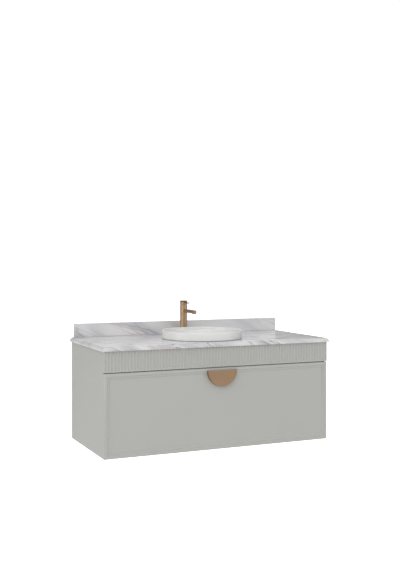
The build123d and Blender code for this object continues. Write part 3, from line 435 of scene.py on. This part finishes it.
def slab_mesh():
    """The moulded edge as nested outlines, and the flat faces between them and the two holes."""
    low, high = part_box("countertop")
    basin_low, basin_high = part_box("basin")
    tap_low, tap_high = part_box("tap_base_ring")
    rise = high.z - low.z
    pulls = [(0, NOSE_HEIGHT), (0.2 * SLOPE_IN, 0.7 * rise), (0.6 * SLOPE_IN, rise), (SLOPE_IN, rise)]
    section = softened((0.02, 0, 0), (0, 0, 0.001), (0, NOSE_HEIGHT, 0))
    for part in range(1, 13):
        t = part / 12
        weights = ((1 - t) ** 3, 3 * t * (1 - t) ** 2, 3 * t * t * (1 - t), t ** 3)
        section.append(tuple(sum(w * pull[axis] for w, pull in zip(weights, pulls))
                             for axis in (0, 1)))
    corners, faces = [], []
    for inset, up in section:
        for x, y in ((low.x + inset, 0), (low.x + inset, low.y + inset),
                     (high.x - inset, low.y + inset), (high.x - inset, 0)):
            corners.append((x, y, low.z + up))
    rings = len(section)
    for ring in range(rings - 1):
        faces += [(4 * ring + k, 4 * ring + k + 1, 4 * ring + k + 5, 4 * ring + k + 4)
                  for k in range(3)]
    holes = [((basin_low + basin_high) / 2, CUTOUT_RADIUS, 160),
             ((tap_low + tap_high) / 2, TAP_HOLE_RADIUS, 48)]
    for centre, radius, count in holes:
        start = len(corners)
        for z in (low.z, high.z):
            corners += [(centre.x + radius * math.cos(2 * math.pi * k / count),
                         centre.y + radius * math.sin(2 * math.pi * k / count), z)
                        for k in range(count)]
        faces += [(start + k, start + (k + 1) % count, start + count + (k + 1) % count,
                   start + count + k) for k in range(count)]
    first_hole = 4 * rings
    second_hole = first_hole + 2 * holes[0][2]
    for level, outer in ((0, 0), (1, 4 * (rings - 1))):
        loops = [list(range(outer, outer + 4))]
        for start, (centre, radius, count) in zip((first_hole, second_hole), holes):
            loops.append(list(range(start + level * count, start + (level + 1) * count)))
        flat = [at for loop in loops for at in loop]
        triangles = tessellate_polygon([[Vector(corners[at]) for at in loop] for loop in loops])
        faces += [tuple(flat[k] for k in triangle) for triangle in triangles]
    left = [4 * ring for ring in range(rings)]
    right = [4 * ring + 3 for ring in range(rings - 1, -1, -1)]
    faces.append(tuple(left + right))
    return solid_mesh("marble_slab", corners, faces, 30)


MARBLE = marble()
keep_faces_flat(fitted(slab_mesh(), MARBLE, "cabinet", "marble", "countertop"))

# ------------------------------------------------------------------ backsplash
# A 70 mm upstand of the same marble, glued to the slab and the wall. Its front edges
# are arrised, and a thin bead of clear silicone closes the joint along its foot.

upstand = board_mesh("marble_upstand", *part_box("backsplash"), 0.0013)
keep_faces_flat(fitted(upstand, MARBLE, "cabinet", "marble", "backsplash"))


def clear_silicone():
    """Cured sealant: milky, a little see-through, with a soft skin."""
    material, tree, shader, place = new_finish("sealant", Transmission_Weight=0.25, IOR=1.41)
    colour = use(tree, MOTTLE, Vector=place, Colour=shade(196, 196, 192), Scale=60.0, Spread=0.05)
    gloss = use(tree, GLOSS, Vector=place, Scale=150.0, Roughness=0.34, Spread=0.06)
    tree.links.new(colour["Colour"], shader.inputs["Base Color"])
    tree.links.new(gloss["Roughness"], shader.inputs["Roughness"])
    wave = add_node(tree, "ShaderNodeTexNoise", {"Vector": place, "Scale": 120.0})
    bumped(tree, shader, wave.outputs["Fac"], 0.0001)
    return material


def bead_mesh(name, start, end, width):
    """A concave quarter-round bead between two points along X, cut square at its ends."""
    turns = [math.radians(15 * k) for k in range(7)]
    corners = []
    for x in (start.x, end.x):
        corners.append((x, start.y, start.z))
        corners += [(x, start.y - width * (1 - math.sin(a)), start.z + width * (1 - math.cos(a)))
                    for a in turns]
    count = len(turns) + 1
    faces = [(k, (k + 1) % count, count + (k + 1) % count, count + k) for k in range(count)]
    faces += [tuple(range(count)), tuple(range(2 * count - 1, count - 1, -1))]
    return solid_mesh(name, corners, faces)


SEALANT = clear_silicone()
BEAD_WIDTH = 0.0022
splash_low, splash_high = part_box("backsplash")
bead = bead_mesh("splash_bead", Vector((splash_low.x, splash_low.y, splash_low.z)),
                 Vector((splash_high.x, splash_low.y, splash_low.z)), BEAD_WIDTH)
fitted(bead, SEALANT, "cabinet", "clear_silicone")
finish_nodes(SEALANT, "drawer_bumpers", "basin_seal")

# ------------------------------------------------------------------ basin
# A round bowl of glazed vitreous china, let into the top so that a thin upright rim
# stands 42 mm proud. The bowl slopes in to a round bottom and the seat of the waste.


def turned_mesh(name, outline, centre, axis="Z", steps=96, closed=False, sharp=35):
    """A turned piece from (radius, height) points about an axis through a centre."""
    corners, count = [], len(outline)
    for step in range(steps):
        angle = 2 * math.pi * step / steps
        for radius, height in outline:
            across, beside = radius * math.cos(angle), radius * math.sin(angle)
            if axis == "Z":
                corners.append((centre[0] + across, centre[1] + beside, height))
            else:
                corners.append((centre[0] + across, height, centre[2] + beside))
    spans = range(count if closed else count - 1)
    faces = [(a * count + k, ((a + 1) % steps) * count + k,
              ((a + 1) % steps) * count + (k + 1) % count, a * count + (k + 1) % count)
             for a in range(steps) for k in spans]
    return solid_mesh(name, corners, faces, sharp)


def glaze():
    """White glaze: glassy and faintly wavy, warmer where it thins over the edges."""
    material, tree, shader, place = new_finish("white_glaze", Coat_Weight=0.6, Coat_Roughness=0.04)
    colour = use(tree, MOTTLE, Vector=place, Colour=shade(226, 226, 225), Scale=9.0, Spread=0.01)
    edges = use(tree, RUBBED, Vector=place, Colour=colour["Colour"],
                Rubbed_Colour=shade(232, 226, 216), Amount=0.5)
    gloss = use(tree, GLOSS, Vector=place, Scale=18.0, Roughness=0.16, Spread=0.02)
    tree.links.new(edges["Colour"], shader.inputs["Base Color"])
    tree.links.new(gloss["Roughness"], shader.inputs["Roughness"])
    wave = add_node(tree, "ShaderNodeTexNoise", {"Vector": place, "Scale": 26.0})
    bumped(tree, shader, wave.outputs["Fac"], 0.0002)
    return material


BOWL_SPHERE, BOWL_WALL, RIM_THICK = 0.2295, 0.011, 0.009
NECK_RADIUS, DRAIN_EDGE, FLANGE_RECESS, DRAIN_RADIUS = 0.186, 0.036, 0.034, 0.0225


def basin_outline(low, high, seat_z, foot_z):
    """Half section of the basin: inside from the rim to the drain, then outside back up."""
    radius = (high.x - low.x) / 2
    inside = radius - RIM_THICK
    turn_x, turn_z = inside - 0.007, high.z - 0.025
    centre_z = BOWL_SPHERE * math.sqrt(2) - turn_x + turn_z
    outside = BOWL_SPHERE + BOWL_WALL

    def round_bottom(size, angles):
        return [(size * math.sin(math.radians(a)), centre_z - size * math.cos(math.radians(a)))
                for a in angles]

    steep = round_bottom(BOWL_SPHERE, (45,))[0]
    edge_angle = math.degrees(math.asin(DRAIN_EDGE / BOWL_SPHERE))
    bottom = round_bottom(BOWL_SPHERE, [45 - (45 - edge_angle) * k / 16 for k in range(17)])
    rim = softened((inside, high.z - 0.03, 0), (inside, high.z, 0.0044),
                   (radius, high.z, 0.0044), (radius, high.z - 0.03, 0), step=15)
    wall = softened((inside, high.z - 0.005, 0), (inside, turn_z + 0.007, 0.024), (steep[0], steep[1], 0))
    drain = [(FLANGE_RECESS + 0.0006, bottom[-1][1] - 0.0006), (FLANGE_RECESS, bottom[-1][1] - 0.0016),
             (FLANGE_RECESS, seat_z), (DRAIN_RADIUS, seat_z), (DRAIN_RADIUS, low.z),
             (0.036, low.z), (0.038, low.z + 0.002), (0.038, low.z + 0.012)]
    under = round_bottom(outside, [12 + 33 * k / 16 for k in range(17)])
    neck = softened((under[-1][0], under[-1][1], 0),
                    (NECK_RADIUS, NECK_RADIUS + centre_z - outside * math.sqrt(2), 0.006),
                    (NECK_RADIUS, foot_z, 0.001), (radius - 0.003, foot_z, 0.0025),
                    (radius, high.z - 0.006, 0))
    return rim[1:-1][::-1] + wall[1:-1] + bottom + drain + under + neck[1:-1]


GLAZE = glaze()
basin_low, basin_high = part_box("basin")
basin_middle = (basin_low + basin_high) / 2
drain_seat_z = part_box("waste_body")[1].z - 0.0025
section = basin_outline(basin_low, basin_high, drain_seat_z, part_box("basin_seal")[1].z)
china = turned_mesh("basin_china", section, basin_middle, steps=180, closed=True)
fitted(china, GLAZE, "cabinet", "glazed_white", "basin")

# ------------------------------------------------------------------ waste and click plug
# A slotted waste clamps the basin between a gasket and a nut. Its domed plug rises on a
# click cartridge. The parts that show in the bowl are brushed bronze.

BRUSHED, given, result = shader_group(
    "brushed_lines", {"Vector": None, "Stretch": None, "Scale": 400.0},
    {"Height": "Float", "Mask": "Float"})
drawn_out = add_node(BRUSHED, "ShaderNodeVectorMath", {0: given["Vector"], 1: given["Stretch"]},
                     operation="MULTIPLY")
lines = add_node(BRUSHED, "ShaderNodeTexNoise",
                 {"Vector": drawn_out.outputs[0], "Scale": given["Scale"], "Detail": 3.0})
streaks = add_node(BRUSHED, "ShaderNodeMapRange",
                   {"Value": lines.outputs["Fac"], "From Min": 0.3, "From Max": 0.7})
BRUSHED.links.new(lines.outputs["Fac"], result.inputs["Height"])
BRUSHED.links.new(streaks.outputs[0], result.inputs["Mask"])


def brushed_bronze(name, stretch, dark=(171, 142, 114), pale=(183, 154, 126), band=None):
    """Bronze-coloured plating, brushed one way; a band above a height is left darker."""
    material, tree, shader, place = new_finish(name, Metallic=1.0)
    lines = use(tree, BRUSHED, Vector=place, Stretch=stretch, Scale=1600.0)
    tone = mix_colour(tree, lines["Mask"], shade(*dark), shade(*pale))
    handled = use(tree, MOTTLE, Vector=place, Colour=tone, Scale=14.0, Spread=0.03)
    edges = use(tree, RUBBED, Vector=place, Colour=handled["Colour"],
                Rubbed_Colour=shade(216, 188, 160), Amount=0.4)
    colour = edges["Colour"]
    if band is not None:
        height = add_node(tree, "ShaderNodeSeparateXYZ", {"Vector": place}).outputs["Z"]
        above = add_node(tree, "ShaderNodeMapRange", {"Value": height, "From Min": band,
                                                      "From Max": band + 0.0006})
        colour = mix_colour(tree, above.outputs[0], colour, shade(122, 98, 76))
    gloss = use(tree, GLOSS, Vector=place, Scale=40.0, Roughness=0.4, Spread=0.05)
    tree.links.new(colour, shader.inputs["Base Color"])
    tree.links.new(gloss["Roughness"], shader.inputs["Roughness"])
    bumped(tree, shader, lines["Height"], 0.00003)
    return material


def rubber():
    """Black moulded rubber with a dusty bloom."""
    material, tree, shader, place = new_finish("black_rubber")
    bloom = use(tree, MOTTLE, Vector=place, Colour=shade(38, 38, 38), Scale=70.0, Spread=0.25)
    gloss = use(tree, GLOSS, Vector=place, Scale=120.0, Roughness=0.68, Spread=0.08)
    tree.links.new(bloom["Colour"], shader.inputs["Base Color"])
    tree.links.new(gloss["Roughness"], shader.inputs["Roughness"])
    bumped(tree, shader, use(tree, GRAINED, Vector=place, Scale=1500.0)["Height"], 0.00004)
    return material


def moulded_plastic():
    """White acetal: waxy, with the fine spark-eroded grain of its mould."""
    material, tree, shader, place = new_finish("moulded_acetal")
    colour = use(tree, MOTTLE, Vector=place, Colour=shade(216, 216, 210), Scale=50.0, Spread=0.03)
    gloss = use(tree, GLOSS, Vector=place, Scale=100.0, Roughness=0.45, Spread=0.06)
    tree.links.new(colour["Colour"], shader.inputs["Base Color"])
    tree.links.new(gloss["Roughness"], shader.inputs["Roughness"])
    bumped(tree, shader, use(tree, GRAINED, Vector=place, Scale=1800.0)["Height"], 0.00002)
    return material


TURNED_BRONZE = brushed_bronze("turned_bronze", (0.08, 0.08, 1.0))
RUBBER, ACETAL = rubber(), moulded_plastic()
finish_nodes(TURNED_BRONZE, "waste_body")
finish_nodes(RUBBER, "waste_gasket", "plug_seal")
finish_nodes(ACETAL, "click_cartridge")

plug_low, plug_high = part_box("waste_plug")
plug_middle = (plug_low + plug_high) / 2
plug_radius, seal_top = (plug_high.x - plug_low.x) / 2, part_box("plug_seal")[1].z
STEM_RADIUS, CROWN_RADIUS = 0.004, 0.012
plug_section = softened(
    (0, plug_low.z, 0), (STEM_RADIUS, plug_low.z, 0.0008), (STEM_RADIUS, seal_top, 0),
    (plug_radius - 0.001, seal_top, 0.0006), (plug_radius, seal_top + 0.0012, 0.0006),
    (plug_radius, seal_top + 0.0024, 0.0012), (plug_radius - 0.0032, plug_high.z - 0.001, 0.006),
    (CROWN_RADIUS, plug_high.z - 0.0001, 0.02), (0, plug_high.z, 0))
dome = turned_mesh("plug_dome", plug_section, plug_middle, steps=96)
fitted(dome, TURNED_BRONZE, "plug", "brushed_bronze", "waste_plug")

# ------------------------------------------------------------------ bottle trap
# A bottle trap with its nuts, unscrewing cup and wall pipe, in polished chrome plate.


def chrome():
    """Polished chrome plate with a few water marks."""
    material, tree, shader, place = new_finish("chrome_plate", Metallic=1.0)
    colour = use(tree, MOTTLE, Vector=place, Colour=shade(208, 211, 214), Scale=30.0, Spread=0.03)
    spots = add_node(tree, "ShaderNodeTexVoronoi", {"Vector": place, "Scale": 130.0})
    marks = add_node(tree, "ShaderNodeMapRange",
                     {"Value": spots.outputs["Distance"], "From Min": 0.12, "From Max": 0.2,
                      "To Min": 0.22, "To Max": 0.09})
    tree.links.new(colour["Colour"], shader.inputs["Base Color"])
    tree.links.new(marks.outputs[0], shader.inputs["Roughness"])
    bumped(tree, shader, spots.outputs["Distance"], 0.000008)
    return material


CHROME = chrome()
finish_nodes(CHROME, "waste_nut", "trap_inlet_tube", "trap_nuts", "trap_bottle", "trap_cup",
             "outlet_pipe", "wall_rosette")

# ------------------------------------------------------------------ tap
# A single-lever mixer turned from brass bar and brushed bronze. Its column stands on a
# ring, carries a straight round spout, and holds the cartridge that the cap turns and tips.

ring_low, ring_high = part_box("tap_base_ring")
column_low, column_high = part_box("tap_body")
tap_axis = (column_low + column_high) / 2
column_radius = (column_high.x - column_low.x) / 2
foot_radius = (ring_high.x - ring_low.x) / 2

SHANK_BORE, SEAT_RADIUS, SEAT_Z, SOCKET_TOP = 0.0163, 0.0167, 0.190, 0.0895

foot = softened((SHANK_BORE, ring_low.z, 0), (foot_radius, ring_low.z, 0.0004),
                (foot_radius, ring_high.z, 0.0012), (SHANK_BORE, ring_high.z, 0))
fitted(turned_mesh("tap_foot_ring", foot, tap_axis, closed=True),
       TURNED_BRONZE, "cabinet", "brushed_bronze", "tap_base_ring")

column = [(0, SOCKET_TOP), (SHANK_BORE, SOCKET_TOP), (SHANK_BORE, column_low.z)]
column += softened((SHANK_BORE, column_low.z, 0), (column_radius, column_low.z, 0.0004),
                   (column_radius, column_high.z, 0.0006), (SEAT_RADIUS, column_high.z, 0))[1:]
column += [(SEAT_RADIUS, SEAT_Z), (0, SEAT_Z)]
fitted(turned_mesh("tap_column", column, tap_axis), TURNED_BRONZE, "cabinet", "brushed_bronze",
       "tap_body")

spout_low, spout_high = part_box("tap_spout")
pipe_radius = 0.009
pipe = softened((0, spout_low.y, 0), (pipe_radius, spout_low.y, 0.002),
                (pipe_radius, spout_high.y, 0.0003), (0, spout_high.y, 0))
pipe_centre = (0, 0, spout_high.z - pipe_radius)
LENGTH_BRONZE = brushed_bronze("spout_bronze", (1.0, 0.06, 1.0))
fitted(turned_mesh("spout_pipe", pipe, pipe_centre, axis="Y", steps=64), LENGTH_BRONZE,
       "cabinet", "brushed_bronze", "tap_spout")
aerator_low, aerator_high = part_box("tap_aerator")
nozzle_middle = (aerator_low + aerator_high) / 2
nozzle_radius = (spout_high.x - spout_low.x) / 2
NOZZLE_BORE, nozzle_seat_z = 0.0086, aerator_high.z + 0.0002
nozzle = softened((0, nozzle_seat_z, 0), (NOZZLE_BORE, nozzle_seat_z, 0),
                  (NOZZLE_BORE, spout_low.z, 0.0002), (nozzle_radius, spout_low.z, 0.0005),
                  (nozzle_radius, aerator_high.z + 0.002, 0.0012), (0, aerator_high.z + 0.0035, 0))
fitted(turned_mesh("spout_nozzle", nozzle, nozzle_middle, steps=64), TURNED_BRONZE, "cabinet",
       "brushed_bronze", "tap_spout")

cap_low, cap_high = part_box("tap_cap")
CAP_HOLLOW, CAP_CEILING, CUT_START, CUT_ANGLE = 0.015, 0.240, -0.0725, 19
cap = softened((0, CAP_CEILING, 0), (CAP_HOLLOW, CAP_CEILING, 0), (CAP_HOLLOW, cap_low.z, 0.0003),
               (column_radius, cap_low.z, 0.0005), (column_radius, cap_high.z, 0.0009),
               (0, cap_high.z, 0))
cap_mesh = turned_mesh("tap_cap_turned", cap, tap_axis)
for vertex in cap_mesh.vertices:
    if vertex.co.z < cap_low.z + 0.002:
        vertex.co.z += max(0.0, vertex.co.y - CUT_START) * math.tan(math.radians(CUT_ANGLE))
CAP_BRONZE = brushed_bronze("cap_bronze", (0.08, 0.08, 1.0), band=cap_high.z - 0.009)
fitted(cap_mesh, CAP_BRONZE, "tap_handle", "brushed_bronze", "tap_cap")

lever_low, lever_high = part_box("lever_pin")
LEVER_RADIUS = 0.003
lever = softened((0, lever_low.y, 0), (LEVER_RADIUS, lever_low.y, 0.0008),
                 (LEVER_RADIUS, lever_high.y, 0.0002), (0, lever_high.y, 0))
lever_centre = (0, 0, (lever_low.z + lever_high.z) / 2)
LEVER_BRONZE = brushed_bronze("lever_bronze", (1.0, 0.06, 1.0), (132, 106, 84), (146, 120, 96))
fitted(turned_mesh("lever_turned", lever, lever_centre, axis="Y", steps=40), LEVER_BRONZE,
       "tap_handle", "brushed_bronze", "lever_pin")


def raw_brass():
    """Machined brass, tarnished in patches, with fine tool lines."""
    material, tree, shader, place = new_finish("raw_brass", Metallic=1.0)
    lines = use(tree, BRUSHED, Vector=place, Stretch=(0.1, 0.1, 1.0), Scale=600.0)
    tarnish = mix_colour(tree, lines["Mask"], shade(188, 156, 92), shade(206, 178, 112))
    patches = use(tree, MOTTLE, Vector=place, Colour=tarnish, Scale=60.0, Spread=0.12)
    gloss = use(tree, GLOSS, Vector=place, Scale=90.0, Roughness=0.3, Spread=0.08)
    tree.links.new(patches["Colour"], shader.inputs["Base Color"])
    tree.links.new(gloss["Roughness"], shader.inputs["Roughness"])
    bumped(tree, shader, lines["Height"], 0.00002)
    return material


finish_nodes(raw_brass(), "cartridge_nut")
finish_nodes(ACETAL, "tap_aerator", "tap_cartridge", "tap_carrier")
finish_nodes(ZINC, "tap_shank", "shank_nut", "stem_pin", "cartridge_stem", "grub_screw")
finish_nodes(RUBBER, "tap_base_gasket", "shank_washer")

# ------------------------------------------------------------------ drawer runners
# Ball-bearing full-extension runners: three roll-formed steel channels a side, with
# plastic cages that space the balls.

finish_nodes(ZINC, "runner_cabinet_members", "runner_middle_members", "runner_drawer_members")
finish_nodes(ACETAL, "ball_cages")

# ------------------------------------------------------------------ drawer box
# 15 mm foil-faced boards screwed together round a grooved-in bottom, with a notch at the
# back that lets the drawer pass the trap.


def linen_foil():
    """Pale grey foil printed and pressed with a fine linen weave."""
    material, tree, shader, place = new_finish("linen_foil")
    across = add_node(tree, "ShaderNodeTexWave", {"Vector": place, "Scale": 260.0, "Distortion": 1.5,
                                                  "Detail": 1.0}, bands_direction="X")
    along = add_node(tree, "ShaderNodeTexWave", {"Vector": place, "Scale": 260.0, "Distortion": 1.5,
                                                 "Detail": 1.0}, bands_direction="Z")
    weave = add_node(tree, "ShaderNodeMath", {0: across.outputs["Fac"], 1: along.outputs["Fac"]},
                     operation="ADD")
    half = add_node(tree, "ShaderNodeMath", {0: weave.outputs[0], 1: 0.5}, operation="MULTIPLY")
    threads = mix_colour(tree, half.outputs[0], shade(176, 175, 170), shade(198, 197, 192))
    faded = use(tree, MOTTLE, Vector=place, Colour=threads, Scale=5.0, Spread=0.02)
    edges = use(tree, RUBBED, Vector=place, Colour=faded["Colour"],
                Rubbed_Colour=shade(170, 150, 122), Amount=0.5)
    gloss = use(tree, GLOSS, Vector=place, Scale=70.0, Roughness=0.55, Spread=0.05)
    tree.links.new(edges["Colour"], shader.inputs["Base Color"])
    tree.links.new(gloss["Roughness"], shader.inputs["Roughness"])
    bumped(tree, shader, half.outputs[0], 0.00005)
    return material


LINEN = linen_foil()
finish_nodes(LINEN, "drawer_inner_front", "drawer_side_left", "drawer_side_right",
             "drawer_back_boards", "notch_boards", "drawer_bottom")
finish_nodes(ZINC, "drawer_screws", "handle_screws")

# ------------------------------------------------------------------ drawer front
# A 20 mm MDF front with a moulded frame: a chamfered rim, a step down to a ledge and a
# second slope to the sunk panel, mitred at the corners and sprayed in one piece.

FRAME_SECTION = ((0, 0.020, 0), (0, 0.004, 0.0012), (0.004, 0, 0.0012), (0.0147, 0, 0.0008),
                 (0.0172, 0.0035, 0.0008), (0.024, 0.0035, 0.001), (0.028, 0.007, 0.001),
                 (0.036, 0.007, 0))


def framed_panel_mesh():
    """The frame's section carried round the four sides with mitred corners."""
    low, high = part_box("drawer_front")
    section = softened(*FRAME_SECTION)
    corners, faces = [], []
    for inset, depth in section:
        corners += [(x, low.y + depth, z) for x, z in (
            (low.x + inset, low.z + inset), (high.x - inset, low.z + inset),
            (high.x - inset, high.z - inset), (low.x + inset, high.z - inset))]
    last = 4 * (len(section) - 1)
    for ring in range(0, last, 4):
        faces += [(ring + k, ring + (k + 1) % 4, ring + 4 + (k + 1) % 4, ring + 4 + k)
                  for k in range(4)]
    faces += [(0, 1, 2, 3), (last, last + 1, last + 2, last + 3)]
    return solid_mesh("drawer_face", corners, faces, 60)


keep_faces_flat(fitted(framed_panel_mesh(), LACQUER, "drawer", "painted_board", "drawer_front"))

# ------------------------------------------------------------------ half-moon handle
# A cast half-disc cup in brushed bronze, open along its straight top edge for the fingers.
# Its rim is scribed to the moulded frame, and two screws hold it from behind.

HANDLE_WALL, HANDLE_EDGE = 0.003, 0.0012


def frame_depth(inset):
    """How far the drawer's face lies back at a distance in from its edge."""
    for (near, shallow, _), (far, deep, _) in zip(FRAME_SECTION[2:], FRAME_SECTION[3:]):
        if inset <= far:
            return shallow + (deep - shallow) * max(0.0, inset - near) / (far - near)
    return FRAME_SECTION[-1][1]


def cup_mesh():
    """The cup's wall swept round the half circle, closed by its front plate."""
    low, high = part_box("half_moon_handle")
    front_low, front_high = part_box("drawer_front")
    middle, radius = (low.x + high.x) / 2, (high.x - low.x) / 2
    inner = radius - HANDLE_WALL
    turns = {math.radians(3 * k) for k in range(61)}
    for inset, depth, _ in FRAME_SECTION[3:]:
        drop = (high.z - front_high.z + inset) / radius
        if 0 < drop < 1:
            turns |= {math.asin(drop), math.pi - math.asin(drop)}
    bends = [math.radians(30 * k) for k in range(4)]
    corners, turns = [], sorted(turns)
    for turn in turns:
        across, down = math.cos(turn), math.sin(turn)

        def rim_point(reach, y):
            return (middle - reach * across, y, high.z - reach * down)

        for reach in (inner, radius):
            back = front_low.y + frame_depth(front_high.z - high.z + reach * down)
            corners.append(rim_point(reach, back))
        corners += [rim_point(radius - HANDLE_EDGE * (1 - math.cos(b)),
                              low.y + HANDLE_EDGE * (1 - math.sin(b))) for b in bends]
        corners += [rim_point(inner - 0.001, low.y + HANDLE_WALL),
                    rim_point(inner, low.y + HANDLE_WALL + 0.001)]
    wide = len(bends) + 4
    count = len(turns)
    faces = []
    for step in range(count - 1):
        a, b = step * wide, (step + 1) * wide
        for k in list(range(wide - 3)) + [wide - 2]:
            faces.append((a + k, a + k + 1, b + k + 1, b + k))
        faces.append((a + wide - 1, a, b, b + wide - 1))
    plate, pocket = wide - 3, wide - 2
    faces.append(tuple(step * wide + plate for step in range(count)))
    faces.append(tuple(step * wide + pocket for step in range(count)))
    last = (count - 1) * wide
    faces.append(tuple([k for k in range(plate + 1)]
                       + [last + k for k in range(plate, -1, -1)]
                       + [last + wide - 1, last + pocket, pocket, wide - 1]))
    return solid_mesh("handle_cup", corners, faces, 50)


CAST_BRONZE = brushed_bronze("cast_bronze", (0.06, 1.0, 1.0), (165, 136, 109), (176, 147, 120))
handle_cup = fitted(cup_mesh(), CAST_BRONZE, "drawer", "brushed_bronze", "half_moon_handle")
top_bevel = handle_cup.modifiers.new("top_edge", "BEVEL")
top_bevel.width, top_bevel.segments, top_bevel.limit_method = 0.0004, 2, "ANGLE"
top_bevel.angle_limit = math.radians(60)
keep_faces_flat(handle_cup)

# ------------------------------------------------------------------ studio
# A pale floor that runs into the background, broad soft lights, and a camera a little
# to the left of the vanity at the height of a seated person's eyes.


def studio_floor():
    """Pale matt floor, lit a little from within so that it has no horizon."""
    material, tree, shader, place = new_finish("studio_floor", Roughness=0.9)
    colour = use(tree, MOTTLE, Vector=place, Colour=shade(238, 238, 238), Scale=0.4, Spread=0.004)
    tree.links.new(colour["Colour"], shader.inputs["Base Color"])
    seen_first = add_node(tree, "ShaderNodeLightPath").outputs["Is Camera Ray"]
    glow = mix_colour(tree, seen_first, shade(90, 90, 90), shade(255, 255, 255))
    tree.links.new(glow, shader.inputs["Emission Color"])
    shader.inputs["Emission Strength"].default_value = 1.0
    return material


FLOOR_Z, FLOOR_REACH = -0.80, 14.0
floor_mesh = bpy.data.meshes.new("floor")
floor_mesh.from_pydata([(-FLOOR_REACH, -FLOOR_REACH, FLOOR_Z), (FLOOR_REACH, -FLOOR_REACH, FLOOR_Z),
                        (FLOOR_REACH, FLOOR_REACH, FLOOR_Z), (-FLOOR_REACH, FLOOR_REACH, FLOOR_Z)],
                       [], [(0, 1, 2, 3)])
floor_mesh.materials.append(studio_floor())
floor = bpy.data.objects.new("floor", floor_mesh)
bpy.context.scene.collection.objects.link(floor)

world = bpy.data.worlds.new("studio")
bpy.context.scene.world = world
world.use_nodes = True
sky = world.node_tree
background = sky.nodes["Background"]
ray = add_node(sky, "ShaderNodeLightPath")
towards = add_node(sky, "ShaderNodeVectorMath",
                   {0: add_node(sky, "ShaderNodeTexCoord").outputs["Generated"],
                    1: (-0.15, -0.75, 0.45)}, operation="DOT_PRODUCT")
fade = add_node(sky, "ShaderNodeMapRange",
                {"Value": towards.outputs["Value"], "From Min": -0.7, "From Max": 0.9,
                 "To Min": 0.22, "To Max": 0.75})
seen = add_node(sky, "ShaderNodeMath", {0: ray.outputs["Is Camera Ray"], 1: 1.2},
                operation="MULTIPLY")
strength = add_node(sky, "ShaderNodeMath", {0: fade.outputs[0], 1: seen.outputs[0]},
                    operation="MAXIMUM")
sky.links.new(strength.outputs[0], background.inputs["Strength"])
background.inputs["Color"].default_value = (1.0, 1.0, 1.0, 1.0)


def softbox(name, place, size, power):
    """A large square lamp that faces the middle of the vanity."""
    lamp = bpy.data.lights.new(name, "AREA")
    lamp.shape, lamp.size, lamp.energy = "SQUARE", size, power
    made = bpy.data.objects.new(name, lamp)
    made.location = place
    made.rotation_euler = (Vector((0, -0.3, -0.1)) - Vector(place)).to_track_quat("-Z", "Y").to_euler()
    bpy.context.scene.collection.objects.link(made)


softbox("key", (-2.4, -3.3, 2.6), 2.2, 42)
softbox("side", (-4.2, -0.9, 1.1), 2.4, 34)
softbox("fill", (3.2, -3.4, 1.2), 2.6, 22)
softbox("top", (0.2, -0.8, 3.2), 2.4, 8)
softbox("back", (1.5, 3.2, 1.8), 2.4, 18)

lens = bpy.data.cameras.new("camera")
lens.sensor_width, lens.lens, lens.shift_y = 36.0, 55.58, -0.0475
camera = bpy.data.objects.new("camera", lens)
camera.location = (-1.8452, -4.4376, 0.4831)
camera.rotation_euler = (math.radians(90), 0, math.radians(-23.97))
bpy.context.scene.collection.objects.link(camera)
bpy.context.scene.camera = camera
bpy.context.scene.view_settings.view_transform = "Standard"
